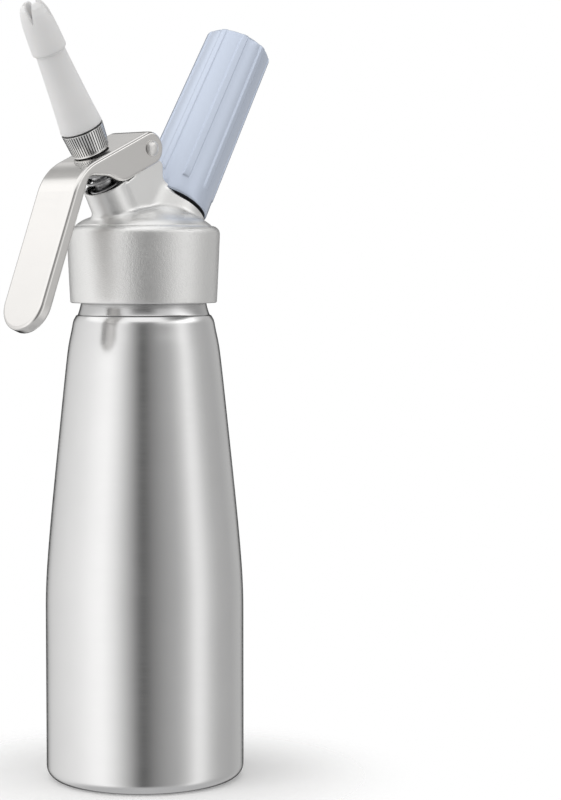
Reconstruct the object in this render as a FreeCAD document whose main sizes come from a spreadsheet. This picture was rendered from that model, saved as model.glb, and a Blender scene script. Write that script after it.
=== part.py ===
import FreeCAD, Part
import math
import os
import Sketcher
from FreeCAD import Placement, Rotation, Vector

# Whipped cream dispenser: a pressure bottle with a screw-on cast head, a
# squeeze lever that pushes a hollow valve stem down, a decorating tip on the
# stem, and a screw-on holder that pushes a gas charger onto a piercing pin.
# Frame: origin at the centre of the bottle's base, +Z up, the mirror plane is
# XZ, the lever and the tip lean to -X and the charger holder leans to +X.

os.makedirs("parts", exist_ok=True)
doc = FreeCAD.newDocument("cream_dispenser")

# ------------------------------------------------------------------ sizes
sheet = doc.addObject("Spreadsheet::Sheet", "Sizes")
DIMS = [
    # bottle
    ("bottle_rad", 39.0), ("bottle_straight", 66.0), ("base_fillet", 5.0),
    ("foot_rad", 32.6), ("foot_rise", 1.2), ("base_thick", 3.0), ("wall", 1.6),
    ("prof_ra", 38.72), ("prof_za", 77.7), ("prof_rb", 37.92), ("prof_zb", 89.6),
    ("prof_rc", 35.3), ("prof_zc", 117.4), ("prof_rd", 32.0), ("prof_zd", 149.0),
    ("prof_re", 30.25), ("prof_ze", 165.0), ("prof_rf", 29.15), ("prof_zf", 172.6),
    ("prof_rg", 28.0), ("prof_zg", 178.2), ("shoulder_rad", 26.7), ("shoulder_top", 182.0),
    ("neck_rad", 24.5), ("neck_root", 182.6), ("neck_top", 206.5), ("neck_bore", 22.0),
    ("neck_crest", 25.7), ("neck_pitch", 4.0), ("neck_thread_low", 190.4),
    ("neck_thread_len", 12.0), ("thread_flat", 0.7), ("thread_foot", 1.7),
    # head casting
    ("head_base", 197.0), ("skirt_low", 187.3), ("skirt_low_rad", 28.7), ("skirt_top_rad", 29.9),
    ("skirt_top", 217.3), ("crown_rad", 26.8), ("crown_fillet", 3.1), ("dome_peak", 224.4),
    ("dome_mid_rad", 13.0), ("dome_mid", 223.0), ("skirt_bore", 26.15), ("seat_low", 205.0),
    ("seat_bore", 25.6), ("seat_top", 209.25), ("cavity_rad", 21.5), ("cavity_top", 212.0),
    ("head_crest", 24.95), ("head_thread_low", 188.9), ("head_thread_len", 12.4),
    ("lean", 30.0), ("charger_lean", 31.54), ("charger_x", -2.3), ("charger_z", 197.1), ("block_width", 17.0),
    # pivot
    ("pivot_x", -5.9), ("pivot_z", 247.0), ("pin_rad", 2.5), ("pin_reach", 11.9),
    ("washer_rad", 3.05), ("washer_in", 10.85), ("washer_thick", 0.45), ("pin_head_rad", 2.85), ("lug_rad", 4.3),
    # nozzle side
    ("port_rad", 8.8), ("port_rim", 41.5), ("cup_rad", 7.6), ("cup_floor", 28.0),
    ("bush_bore", 4.06), ("bush_rad", 6.45), ("bush_flange", 7.2), ("stem_rad", 4.0),
    ("stem_bore", 2.0), ("seat_face", 14.0), ("seat_boss_rad", 8.5), ("chamber_rad", 5.2),
    ("rod_rad", 2.5), ("poppet_rad", 6.6), ("collar_rad", 8.1), ("collar_top", 52.06),
    ("spring_mean", 5.9), ("spring_wire", 1.2), ("spring_low", 29.1), ("spring_top", 50.2),
    ("spring_turns", 6.5), ("shank_rad", 5.0), ("knurl_low", 56.2), ("knurl_top", 66.0),
    ("knurl_low_rad", 7.55), ("knurl_top_rad", 8.4), ("knurl_count", 50), ("knurl_depth", 0.4),
    ("tip_low", 66.25), ("tip_base_rad", 8.3), ("tip_step", 98.5), ("tip_top", 118.0),
    # charger side
    ("boss_rad", 14.4), ("boss_top", 32.6), ("thread_boss_rad", 9.7), ("thread_boss_crest", 10.55),
    ("thread_boss_top", 45.0), ("holder_pitch", 2.5), ("holder_low", 33.95), ("holder_top", 109.6),
    ("holder_rad", 13.72), ("holder_low_rad", 15.0), ("holder_bore", 9.3), ("holder_root", 10.98), ("holder_crest", 10.05),
    ("holder_clear", 15.35), ("panel_floor", 14.42), ("panel_floor_top", 13.16), ("panel_low", 43.5), ("rib_count", 9), ("panel_angle", 33.6),
    ("charger_rad", 9.0), ("charger_end", 106.7), ("charger_neck_end", 40.9), ("charger_neck", 4.3),
    # lever
    ("lever_width", 21.5), ("sheet_thick", 1.8), ("web_slope", 23.6), ("ear_rad", 6.55),
    ("web_rear_x", -6.0), ("stem_hole", 6.3), ("stem_hole_along", 20.1), ("fold_rad", 1.4),
    ("handle_lean", 21.9), ("handle_end_x", -67.41), ("handle_end_z", 178.26),
]
for row, (name, value) in enumerate(DIMS, start=1):
    sheet.set("A%d" % row, name)
    sheet.set("B%d" % row, repr(value))
    sheet.setAlias("B%d" % row, name)
doc.recompute()
D = {name: float(sheet.get(name)) for name, value in DIMS}

LEAN = math.radians(D["lean"])
HEAD0 = Vector(0, 0, D["head_base"])
NOZZLE = Placement(HEAD0, Rotation(Vector(0, 1, 0), -D["lean"]))      # local Z = nozzle axis
CHARGE = Placement(Vector(D["charger_x"], 0, D["charger_z"]), Rotation(Vector(0, 1, 0), D["charger_lean"]))       # local Z = charger axis
WORLD = Placement()
parts = {}


def bind(obj, prop, expr):
    """Drive one property from the sheet: every $word is a cell of the sheet."""
    if isinstance(expr, str):
        obj.setExpression(prop, expr.replace("$", "Sizes."))
    else:
        setattr(obj, prop, expr)


def value(expr):
    """The number that an expression of the sheet's words has."""
    if not isinstance(expr, str):
        return float(expr)
    total, sign, text = 0.0, 1.0, expr.replace("-", " - ").replace("+", " + ").split()
    for item in text:
        if item == "+":
            sign = 1.0
        elif item == "-":
            sign = -1.0
        else:
            total += sign * (D[item[1:]] if item.startswith("$") else float(item))
            sign = 1.0
    return total


def plane(body, role):
    return [f for f in body.Origin.OriginFeatures if f.Role == role][0]


def new_body(name, place=WORLD):
    body = doc.addObject("PartDesign::Body", name)
    body.Placement = place
    return body


def polygon_sketch(body, name, points, role="XZ_Plane"):
    """A closed outline of straight lines whose corners are bound to the sheet."""
    sk = body.newObject("Sketcher::SketchObject", name)
    sk.AttachmentSupport = [(plane(body, role), "")]
    sk.MapMode = "FlatFace"
    xy = [(value(a), value(b)) for a, b in points]
    n = len(xy)
    for i in range(n):
        p, q = xy[i], xy[(i + 1) % n]
        sk.addGeometry(Part.LineSegment(Vector(p[0], p[1], 0), Vector(q[0], q[1], 0)), False)
    for i in range(n):
        sk.addConstraint(Sketcher.Constraint("Coincident", i, 2, (i + 1) % n, 1))
    for i, (a, b) in enumerate(points):
        for kind, axis, expr, v in (("DistanceX", -2, a, xy[i][0]), ("DistanceY", -1, b, xy[i][1])):
            if abs(v) < 1e-9:
                sk.addConstraint(Sketcher.Constraint("PointOnObject", i, 1, axis))
                continue
            k = sk.addConstraint(Sketcher.Constraint(kind, -1, 1, i, 1, v))
            if isinstance(expr, str) and "$" in expr:
                bind(sk, "Constraints[%d]" % k, expr)
    doc.recompute()
    return sk


def turned(name, points, place=WORLD):
    """A turned feature: the outline is (radius, height), round the local Z axis."""
    body = new_body(name + "_body", place)
    sk = polygon_sketch(body, name + "_outline", points)
    rev = body.newObject("PartDesign::Revolution", name + "_turn")
    rev.Profile = sk
    rev.ReferenceAxis = (sk, ["V_Axis"])
    rev.Angle = 360
    sk.Visibility = False
    doc.recompute()
    return body


def round_edges(body, name, size, picks, kind="PartDesign::Fillet"):
    """Round the circular edges of a turned body, picked by local (radius, height)."""
    base = body.Tip
    names = []
    for i, e in enumerate(base.Shape.Edges, start=1):
        c = e.Curve
        if not isinstance(c, Part.Circle):
            continue
        for r, h in picks:
            if abs(c.Radius - r) < 0.02 and abs(c.Center.z - h) < 0.02:
                names.append("Edge%d" % i)
    f = body.newObject(kind, name)
    f.Base = (base, names)
    if kind.endswith("Fillet"):
        if isinstance(size, str):
            bind(f, "Radius", size)
        else:
            f.Radius = size
    else:
        f.Size = size
    doc.recompute()
    if not names or not f.Shape.isValid() or "Invalid" in f.State:
        raise SystemExit("rounding failed: " + name)
    return f


def primitive(kind, name, place=WORLD, **sizes):
    obj = doc.addObject("Part::" + kind, name)
    for prop, expr in sizes.items():
        if isinstance(expr, str):
            bind(obj, prop, expr)
        else:
            setattr(obj, prop, expr)
    obj.Placement = place
    return obj


def at(place, x=0.0, y=0.0, z=0.0, rot=None):
    return place.multiply(Placement(Vector(x, y, z), rot or Rotation()))


def cut(name, base, tool):
    obj = doc.addObject("Part::Cut", name)
    obj.Base, obj.Tool = base, tool
    doc.recompute()
    return obj


def fuse(name, *shapes):
    obj = doc.addObject("Part::MultiFuse", name)
    obj.Shapes = list(shapes)
    doc.recompute()
    return obj


def common(name, *shapes):
    obj = doc.addObject("Part::MultiCommon", name)
    obj.Shapes = list(shapes)
    doc.recompute()
    return obj


def thread(name, place, pitch, length, foot_r, crest_r, low, inward=False):
    """A helical ridge that stands on a cylinder, as a body of its own.

    The section is a trapezoid from a little inside the wall to the crest."""
    body = new_body(name, place)
    fr, cr, lo = value(foot_r), value(crest_r), value(low)
    half_foot, half_flat = D["thread_foot"] * value(pitch) / 8.0, D["thread_flat"] * value(pitch) / 8.0
    bite = 0.25 if not inward else -0.25
    sk = body.newObject("Sketcher::SketchObject", name + "_section")
    sk.AttachmentSupport = [(plane(body, "XZ_Plane"), "")]
    sk.MapMode = "FlatFace"
    pts = [(fr - bite, lo - half_foot), (cr, lo - half_flat), (cr, lo + half_flat), (fr - bite, lo + half_foot)]
    for i in range(4):
        p, q = pts[i], pts[(i + 1) % 4]
        sk.addGeometry(Part.LineSegment(Vector(p[0], p[1], 0), Vector(q[0], q[1], 0)), False)
    for i in range(4):
        sk.addConstraint(Sketcher.Constraint("Coincident", i, 2, (i + 1) % 4, 1))
    sk.addConstraint(Sketcher.Constraint("Vertical", 1))
    k = sk.addConstraint(Sketcher.Constraint("DistanceX", -1, 1, 1, 1, cr))
    bind(sk, "Constraints[%d]" % k, crest_r)
    doc.recompute()
    hx = body.newObject("PartDesign::AdditiveHelix", name + "_helix")
    hx.Profile = sk
    hx.ReferenceAxis = (sk, ["V_Axis"])
    hx.Mode = 0
    bind(hx, "Pitch", pitch)
    bind(hx, "Height", length)
    sk.Visibility = False
    doc.recompute()
    if hx.Shape.isNull() or not hx.Shape.isValid() or hx.Shape.Volume < 1:
        raise SystemExit("thread failed: " + name)
    return body


def keep(node, obj):
    """Name a finished piece."""
    obj.Label = node
    parts[node] = obj


# ------------------------------------------------------------------ bottle
# Outside: flat foot ring round a shallow recess, straight wall, long curved
# taper, rounded shoulder, then the neck.  Inside: the same line set in.
bottle = new_body("bottle_body")
sk = bottle.newObject("Sketcher::SketchObject", "bottle_outline")
sk.AttachmentSupport = [(plane(bottle, "XZ_Plane"), "")]
sk.MapMode = "FlatFace"
outer = [(D["bottle_rad"], D["bottle_straight"])] + [
    (D["prof_r" + c], D["prof_z" + c]) for c in "abcdefg"] + [(D["shoulder_rad"], D["shoulder_top"])]
curve = Part.BSplineCurve()
curve.interpolate([Vector(r, z, 0) for r, z in outer], InitialTangent=Vector(0, 1, 0), FinalTangent=Vector(-0.75, 1, 0))
w = D["wall"]
inner = [(D["bottle_rad"] - w, D["bottle_straight"])]
for c in "abcdef":
    inner.append((D["prof_r" + c] - w - 0.02, D["prof_z" + c] - 0.2))
inner += [(D["neck_bore"] + 2.6, D["prof_zg"] - 0.6), (D["neck_bore"], D["neck_root"] + 1.0)]
curve2 = Part.BSplineCurve()
curve2.interpolate([Vector(r, z, 0) for r, z in inner], InitialTangent=Vector(0, 1, 0), FinalTangent=Vector(-0.05, 1, 0))
chain = [
    (0, "$foot_rise"), ("$foot_rad - $foot_rise - 0.4", "$foot_rise"), ("$foot_rad", 0), ("$bottle_rad", 0),
    ("$bottle_rad", "$bottle_straight"), "outer", ("$shoulder_rad", "$shoulder_top"),
    ("$neck_rad + 1.4", "$neck_root"), ("$neck_rad + 0.75", "$neck_root + 1.7"), ("$neck_rad + 0.2", "$neck_root + 3.8"),
    ("$neck_rad", "$neck_root + 5.2"), ("$neck_rad", "$neck_top - 0.6"),
    ("$neck_rad - 0.6", "$neck_top"), ("$neck_bore", "$neck_top"), ("$neck_bore", "$neck_root + 1.0"), "inner",
    ("$bottle_rad - $wall", "$bottle_straight"), ("$bottle_rad - $wall", "$base_thick + $base_fillet"),
    ("$bottle_rad - $wall - $base_fillet", "$base_thick"), (0, "$base_thick"),
]
geo, pts = [], [c for c in chain if not isinstance(c, str)]
i = 0
while i < len(chain):
    nxt = chain[(i + 1) % len(chain)]
    here = chain[i]
    if isinstance(nxt, str):
        geo.append(sk.addGeometry(curve if nxt == "outer" else curve2, False))
        if nxt == "inner":
            geo[-1] = -geo[-1] - 100          # runs from the straight wall up to the neck
        i += 2
        continue
    a, b = here, nxt
    geo.append(sk.addGeometry(Part.LineSegment(Vector(value(a[0]), value(a[1]), 0), Vector(value(b[0]), value(b[1]), 0)), False))
    i += 1
for j, g in enumerate(geo):
    h = geo[(j + 1) % len(geo)]
    end_g, end_p = (g, 2) if g >= 0 else (-g - 100, 1)
    start_h, start_p = (h, 1) if h >= 0 else (-h - 100, 2)
    sk.addConstraint(Sketcher.Constraint("Coincident", end_g, end_p, start_h, start_p))
for j, g in enumerate(geo):
    a = pts[j]
    if g < 0:
        continue
    for kind, axis, expr in (("DistanceX", -2, a[0]), ("DistanceY", -1, a[1])):
        v = value(expr)
        if abs(v) < 1e-9:
            sk.addConstraint(Sketcher.Constraint("PointOnObject", g, 1, axis))
            continue
        if (kind, j) == ("DistanceX", 0):
            continue
        k = sk.addConstraint(Sketcher.Constraint(kind, -1, 1, g, 1, v))
        if isinstance(expr, str):
            bind(sk, "Constraints[%d]" % k, expr)
doc.recompute()
rev = bottle.newObject("PartDesign::Revolution", "bottle_turn")
rev.Profile = sk
rev.ReferenceAxis = (sk, ["V_Axis"])
rev.Angle = 360
doc.recompute()
round_edges(bottle, "bottle_base_round", "$base_fillet", [(D["bottle_rad"], 0.0)])
neck_thread = thread("neck_thread", WORLD, "$neck_pitch", "$neck_thread_len", "$neck_rad", "$neck_crest", "$neck_thread_low")
keep("bottle", fuse("bottle_with_thread", bottle, neck_thread))

# ------------------------------------------------------------------ gasket
keep("head_gasket", turned("gasket", [
    ("$neck_bore + 0.2", "$neck_top + 0.2"), ("$seat_bore - 0.2", "$neck_top + 0.2"),
    ("$seat_bore - 0.2", "$seat_top - 0.15"), ("$neck_bore + 0.2", "$seat_top - 0.15")]))

# ------------------------------------------------------------- head casting
skirt = turned("skirt", [
    (0, "$skirt_low"), ("$skirt_low_rad", "$skirt_low"), ("$skirt_top_rad", "$skirt_top - $crown_fillet - 0.4"),
    ("$skirt_top_rad", "$skirt_top"), ("$crown_rad", "$skirt_top"), ("$crown_rad - 2.4", "$skirt_top + 2.2"),
    ("$dome_mid_rad", "$dome_mid"), (0, "$dome_peak")])
round_edges(skirt, "skirt_crown", "$crown_fillet - 0.15", [(D["skirt_top_rad"], D["skirt_top"])])
round_edges(skirt, "skirt_lip", 0.6, [(D["skirt_low_rad"], D["skirt_low"])])

# The flat-sided body that carries the pivot.
block = new_body("block_body")
sk = polygon_sketch(block, "block_outline", [
    (-19.5, 212), (-14.0, 236.0), ("$pivot_x - $lug_rad", "$pivot_z - 0.5"), ("$pivot_x - $lug_rad", "$pivot_z + $lug_rad"),
    ("$pivot_x + $lug_rad", "$pivot_z + $lug_rad"), ("$pivot_x + $lug_rad", "$pivot_z - 1.6"),
    (2.9, "$pivot_z - 5.0"), (2.9, 235.3), (15.0, 228.0), (20.0, 212)])
pad = block.newObject("PartDesign::Pad", "block_pad")
pad.Profile = sk
bind(pad, "Length", "$block_width")
pad.Midplane = True
doc.recompute()


def y_edges(shape, spots, tol=0.05):
    """Names of the edges along Y that pass the given (x, z) spots."""
    out = []
    for i, e in enumerate(shape.Edges, start=1):
        a, b = e.Vertexes[0].Point, e.Vertexes[-1].Point
        if abs(a.x - b.x) > 1e-4 or abs(a.z - b.z) > 1e-4 or abs(a.y - b.y) < 1:
            continue
        if any(abs(a.x - x) < tol and abs(a.z - z) < tol for x, z in spots):
            out.append("Edge%d" % i)
    return out


def fillet_spots(body, name, size, spots):
    base = body.Tip
    names = y_edges(base.Shape, spots)
    f = body.newObject("PartDesign::Fillet", name)
    f.Base = (base, names)
    if isinstance(size, str):
        bind(f, "Radius", size)
    else:
        f.Radius = size
    doc.recompute()
    if len(names) != len(spots) or f.Shape.isNull() or not f.Shape.isValid() or "Invalid" in f.State:
        raise SystemExit("fillet failed: %s %s" % (name, names))
    return f


px, pz, lug = D["pivot_x"], D["pivot_z"], D["lug_rad"]
fillet_spots(block, "block_lug", "$lug_rad - 0.05", [(px - lug, pz + lug), (px + lug, pz + lug)])
fillet_spots(block, "block_back", 1.5, [(px + lug, pz - 1.6), (2.9, pz - 5.0)])
fillet_spots(block, "block_heel", 3.0, [(2.9, 235.3)])
holder_room = primitive("Cylinder", "holder_room", at(CHARGE, z=D["holder_low"] - 0.35), Radius="$holder_clear", Height=40.0)
block_cleared = cut("block_cleared", block, holder_room)

port = turned("port_boss", [
    (0, 14), ("$port_rad + 5.5", 14), ("$port_rad + 4.2", 21.5), ("$port_rad + 1.7", 25.2), ("$port_rad + 0.45", 29.0),
    ("$port_rad + 0.1", 33.0), ("$port_rad", 36.0), ("$port_rad", "$port_rim"), (0, "$port_rim")], NOZZLE)
round_edges(port, "port_lip", 0.5, [(D["port_rad"], D["port_rim"])])
shoulder = turned("charger_boss", [
    (0, 17), ("$boss_rad + 0.9", 17), ("$boss_rad + 0.3", 22.0), ("$boss_rad", 25.5), ("$boss_rad", "$boss_top"),
    ("$thread_boss_rad", "$boss_top"), ("$thread_boss_rad", "$thread_boss_top - 0.8"),
    ("$thread_boss_rad - 0.8", "$thread_boss_top"), (0, "$thread_boss_top")], CHARGE)
round_edges(shoulder, "boss_lip", 0.6, [(D["boss_rad"], D["boss_top"])])
boss_thread = thread("boss_thread", CHARGE, "$holder_pitch", 8.5, "$thread_boss_rad", "$thread_boss_crest", "$boss_top + 2.1")
head_outer = fuse("head_outer", skirt, block_cleared, port, shoulder)
# keep the flared feet inside the crown of the skirt
crown_keep = turned("crown_keep", [
    (0, 180), (40, 180), (40, "$skirt_top"), ("$crown_rad", "$skirt_top"), ("$crown_rad + 0.1", "$skirt_top + 0.5"), (29.5, 222), (40, 250), (40, 270), (0, 270)])
head_outer = common("head_trimmed", head_outer, crown_keep)

hollow = turned("head_hollow", [
    (0, 180), ("$skirt_bore", 180), ("$skirt_bore", "$seat_low"), ("$seat_bore", "$seat_low"),
    ("$seat_bore", "$seat_top"), ("$cavity_rad", "$seat_top"), ("$cavity_rad", "$cavity_top"), (0, "$cavity_top")])
seat_boss = primitive("Cylinder", "seat_boss", at(NOZZLE, z=D["seat_face"]), Radius="$seat_boss_rad", Height="9")
gas_nipple = primitive("Cylinder", "gas_nipple", Placement(Vector(10.8, 0, 203.6), Rotation()), Radius=2.2, Height=10.0)
head_thread = thread("head_thread", WORLD, "$neck_pitch", "$head_thread_len", "$skirt_bore", "$head_crest", "$head_thread_low - 0.5", inward=True)
head_solid = fuse("head_solid", cut("head_shell", head_outer, hollow), seat_boss, gas_nipple, head_thread, boss_thread)
valve_bore = turned("valve_bore", [
    (0, 10), ("$poppet_rad + 0.7", 10), ("$poppet_rad + 0.7", "$seat_face + 0.02"), ("$chamber_rad", "$seat_face + 0.02"), ("$chamber_rad", 20.6), ("$bush_rad + 0.05", 20.6), ("$bush_rad + 0.05", "$cup_floor"),
    ("$cup_rad", "$cup_floor"), ("$cup_rad", "$port_rim - 0.4"), ("$cup_rad + 0.4", "$port_rim"), ("$cup_rad + 0.4", 46), (0, 46)], NOZZLE)
charge_bore = turned("charge_bore", [
    (0, 21.0), (0.8, 21.0), (0.8, 29.8), (3.95, 29.8), (3.95, 38.6), (4.6, 38.6), (4.6, 50), (0, 50)], CHARGE)
gas_hole = primitive("Cylinder", "gas_hole", Placement(Vector(10.8, 0, 205.4), Rotation()), Radius=0.8, Height=13.2)
gas_side = primitive("Cylinder", "gas_side", Placement(Vector(7, 0, 206.6), Rotation(Vector(0, 1, 0), 90)), Radius=0.6, Height=7.6)
pin_bore = primitive("Cylinder", "pin_bore", Placement(Vector(px, 12, pz), Rotation(Vector(1, 0, 0), 90)), Radius="$pin_rad + 0.03", Height=24.0)
head = cut("head_cast", head_solid, fuse("head_bores", valve_bore, charge_bore, gas_hole, gas_side, pin_bore))
keep("head_casting", head)

# ------------------------------------------------------------------ pivot
pin = turned("pin", [
    (0, "0 - $pin_reach - 0.5"), ("$pin_head_rad - 1.45", "0 - $pin_reach - 0.32"), ("$pin_head_rad - 0.5", "0 - $pin_reach + 0.05"), ("$pin_head_rad", "0 - $pin_reach + 0.45"),
    ("$pin_head_rad", "0 - $pin_reach + 0.54"), ("$pin_rad", "0 - $pin_reach + 0.54"), ("$pin_rad", "$pin_reach - 0.54"), ("$pin_head_rad", "$pin_reach - 0.54"),
    ("$pin_head_rad", "$pin_reach - 0.45"), ("$pin_head_rad - 0.5", "$pin_reach - 0.05"), ("$pin_head_rad - 1.45", "$pin_reach + 0.32"), (0, "$pin_reach + 0.5")],
    Placement(Vector(px, 0, pz), Rotation(Vector(1, 0, 0), 90)))
keep("pivot_pin", pin)
rings = []
for side in (-1, 1):
    y0 = D["washer_in"] if side > 0 else -D["washer_in"] - D["washer_thick"]
    place = Placement(Vector(px, y0 + D["washer_thick"], pz), Rotation(Vector(1, 0, 0), 90))
    tag = "near" if side < 0 else "far"
    disc = primitive("Cylinder", "washer_disc_" + tag, place, Radius="$washer_rad", Height="$washer_thick")
    hole = primitive("Cylinder", "washer_hole_" + tag, at(place, z=-1), Radius="$pin_rad + 0.04", Height=3.0)
    rings.append(cut("washer_" + tag, disc, hole))
washers = doc.addObject("Part::Compound", "pivot_washer_pair")
washers.Links = rings
keep("pivot_washers", washers)

# ------------------------------------------------------------------ valve
keep("valve_guide_bush", turned("guide_bush", [
    ("$bush_bore", 23.1), ("$bush_rad", 23.1), ("$bush_rad", "$cup_floor + 0.02"), ("$bush_flange", "$cup_floor + 0.02"),
    ("$bush_flange", "$cup_floor + 1.0"), ("$bush_bore", "$cup_floor + 1.0")], NOZZLE))
keep("stem_o_ring", primitive("Torus", "stem_ring", at(NOZZLE, z=21.85), Radius1="$stem_rad + 1.25", Radius2=1.16))
helix = primitive("Helix", "spring_line", at(NOZZLE, z=D["spring_low"] + 0.6), Radius="$spring_mean",
                  Pitch="($spring_top - $spring_low - $spring_wire) / $spring_turns", Height="$spring_top - $spring_low - $spring_wire")
section = doc.addObject("Part::Circle", "spring_section")
bind(section, "Radius", "$spring_wire / 2")
section.Placement = at(NOZZLE, x=D["spring_mean"], z=D["spring_low"] + 0.6, rot=Rotation(Vector(1, 0, 0), 90))
coil = doc.addObject("Part::Sweep", "spring_coil")
doc.recompute()
coil.Sections = [section]
coil.Spine = (helix, ["Edge%d" % (i + 1) for i in range(len(helix.Shape.Edges))])
coil.Solid = True
coil.Frenet = True
doc.recompute()
keep("valve_spring", coil)
stem = turned("stem", [
    (0, 4.6), ("$rod_rad - 0.5", 4.6), ("$rod_rad", 5.1), ("$rod_rad", "$seat_face - 0.1"), ("$stem_rad", "$seat_face - 0.1"), ("$stem_rad", 52.0),
    (3.2, 52.0), (3.2, 62.0), ("$stem_bore", 62.0), ("$stem_bore", 16.6), (0, 15.6)], NOZZLE)
ports = []
for k, ang in enumerate((0, 90)):
    rot = Rotation(Vector(0, 0, 1), ang).multiply(Rotation(Vector(0, 1, 0), 90))
    ports.append(primitive("Cylinder", "stem_port_%d" % k, at(NOZZLE, z=17.9).multiply(Placement(Vector(), rot)).multiply(Placement(Vector(0, 0, -6), Rotation())), Radius=1.15, Height=12.0))
keep("valve_stem", cut("stem_drilled", stem, fuse("stem_ports", *ports)))
keep("spring_collar", turned("collar", [
    ("$stem_rad + 0.03", 48.2), (4.9, 48.2), (4.9, "$collar_top - 1.7"), ("$collar_rad", "$collar_top - 1.7"),
    ("$collar_rad", "$collar_top - 0.3"), ("$collar_rad - 0.3", "$collar_top"), ("$stem_rad + 0.03", "$collar_top")], NOZZLE))
keep("poppet_seal", turned("seal_disc", [
    ("$rod_rad + 0.05", 12.3), ("$poppet_rad - 0.4", 12.3), ("$poppet_rad", 12.7), ("$poppet_rad", 13.8), ("$rod_rad + 0.05", 13.8)], NOZZLE))
nut_blank = doc.addObject("Part::Prism", "nut_blank")
nut_blank.Polygon = 6
nut_blank.Circumradius = 4.9
nut_blank.Height = 3.6
nut_blank.Placement = at(NOZZLE, z=8.6)
nut_hole = primitive("Cylinder", "nut_hole", at(NOZZLE, z=8.0), Radius="$rod_rad + 0.05", Height=6.0)
keep("poppet_nut", cut("nut_drilled", nut_blank, nut_hole))

# Knurled adapter: fifty straight serrations on a slight cone.
count = int(D["knurl_count"])


def star(radius, height, depth):
    ring = []
    for j in range(count):
        for frac, r in ((0.0, radius - depth), (0.30, radius), (0.70, radius)):
            t = 2 * math.pi * (j + frac) / count
            ring.append(Vector(r * math.cos(t), r * math.sin(t), height))
    return Part.makePolygon(ring + [ring[0]])


k0, k1 = D["knurl_low"], D["knurl_top"]
kr0, kr1, kd = D["knurl_low_rad"], D["knurl_top_rad"], D["knurl_depth"]
knurl_shape = Part.makeLoft([star(kr0 + 0.03, k0 + 0.9, kd), star(kr1 - 0.03, k1 - 0.5, kd)], True, True)
knurl = doc.addObject("Part::Feature", "knurl_band")
knurl.Shape = knurl_shape
knurl.Placement = NOZZLE
hub = turned("adapter_hub", [
    (0, "$collar_top + 0.1"), ("$shank_rad", "$collar_top + 0.1"), ("$shank_rad", "$knurl_low"), ("$knurl_low_rad - 0.5", "$knurl_low"), ("$knurl_low_rad", "$knurl_low + 0.4"),
    ("$knurl_low_rad", "$knurl_low + 0.95"), ("$knurl_low_rad - 0.45", "$knurl_low + 0.95"), ("$knurl_top_rad - 0.5", "$knurl_top - 0.55"), ("$knurl_top_rad", "$knurl_top - 0.55"),
    ("$knurl_top_rad", "$knurl_top - 0.15"), ("$knurl_top_rad - 0.15", "$knurl_top"), (5.0, "$knurl_top"), (5.0, "$knurl_top + 6.4"), (4.4, "$knurl_top + 7.0"),
    (0, "$knurl_top + 7.0")], NOZZLE)
adapter_thread = thread("adapter_thread", NOZZLE, "1.5", 4.2, "5.0", "5.5", "$knurl_top + 1.7")
adapter_bore = turned("adapter_bore", [
    (0, 50), (3.24, 50), (3.24, 57.8), (4.25, 57.8), (4.25, 58.8), (3.24, 58.8), (3.24, 62.3), (2.4, 62.3), (2.4, 76), (0, 76)], NOZZLE)
keep("tip_adapter", cut("adapter_done", fuse("adapter_blank", hub, knurl, adapter_thread), adapter_bore))
keep("adapter_o_ring", primitive("Torus", "adapter_ring", at(NOZZLE, z=58.3), Radius1=3.73, Radius2=0.47))

# ------------------------------------------------------------------ tip
keep("tip_seal_ring", turned("tip_ring", [
    (5.7, "$knurl_top + 0.1"), (7.2, "$knurl_top + 0.1"), (7.2, "$knurl_top + 1.2"), (5.7, "$knurl_top + 1.2")], NOZZLE))
tip = turned("tip_blank", [
    (7.4, "$tip_low"), ("$tip_base_rad - 0.15", "$tip_low"), ("$tip_base_rad", "$tip_low + 0.4"), (8.05, 69.0), (7.62, 73.0), (7.2, 78.0), (6.5, 87.0),
    (5.75, 97.2), (5.85, 97.9), (6.6, "$tip_step"), (6.72, 99.2), (6.62, 102.0), (6.4, 106.0), (6.1, 110.0), (5.6, 113.4), (4.85, 116.0), (3.8, 117.6), (3.1, "$tip_top"),
    (2.7, 117.6), (3.3, 114.0), (3.9, 108.0), (4.1, 99.0), (4.2, 80.0), (4.4, 75.6), (5.95, 74.4), (5.95, 67.6), (7.4, 67.4)], NOZZLE)
slots = []
for k in range(2):
    # V slot right across the free end: two of them leave four prongs
    wedge = doc.addObject("Part::Wedge", "slot_%d" % k)
    wedge.Xmin, wedge.Xmax, wedge.X2min, wedge.X2max = -0.22, 0.22, -1.75, 1.75
    wedge.Ymin, wedge.Ymax = 0.0, 8.4
    wedge.Zmin, wedge.Zmax, wedge.Z2min, wedge.Z2max = -9.0, 9.0, -9.0, 9.0
    # local: X across the slot, Y along the tip, Z outward both ways
    spin = Rotation(Vector(0, 0, 1), -45.0 - 17.0 + 90.0 * k)
    stand = Rotation(Vector(1, 0, 0), Vector(0, 0, 1), Vector(0, -1, 0), "ZXY")
    wedge.Placement = at(NOZZLE, z=110.8).multiply(Placement(Vector(), spin)).multiply(Placement(Vector(), stand))
    slots.append(wedge)
tip_thread = thread("tip_thread", NOZZLE, "1.5", 3.3, "5.95", "5.4", "$knurl_top + 2.45", inward=True)
tip_slotted = cut("tip_slotted", cut("tip_slot_one", tip, slots[0]), slots[1])
tip_done = doc.addObject("Part::MultiFuse", "tip_done")
tip_done.Shapes = [tip_slotted, tip_thread]
tip_done.Refine = False
doc.recompute()
keep("decorator_tip", tip_done)

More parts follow.
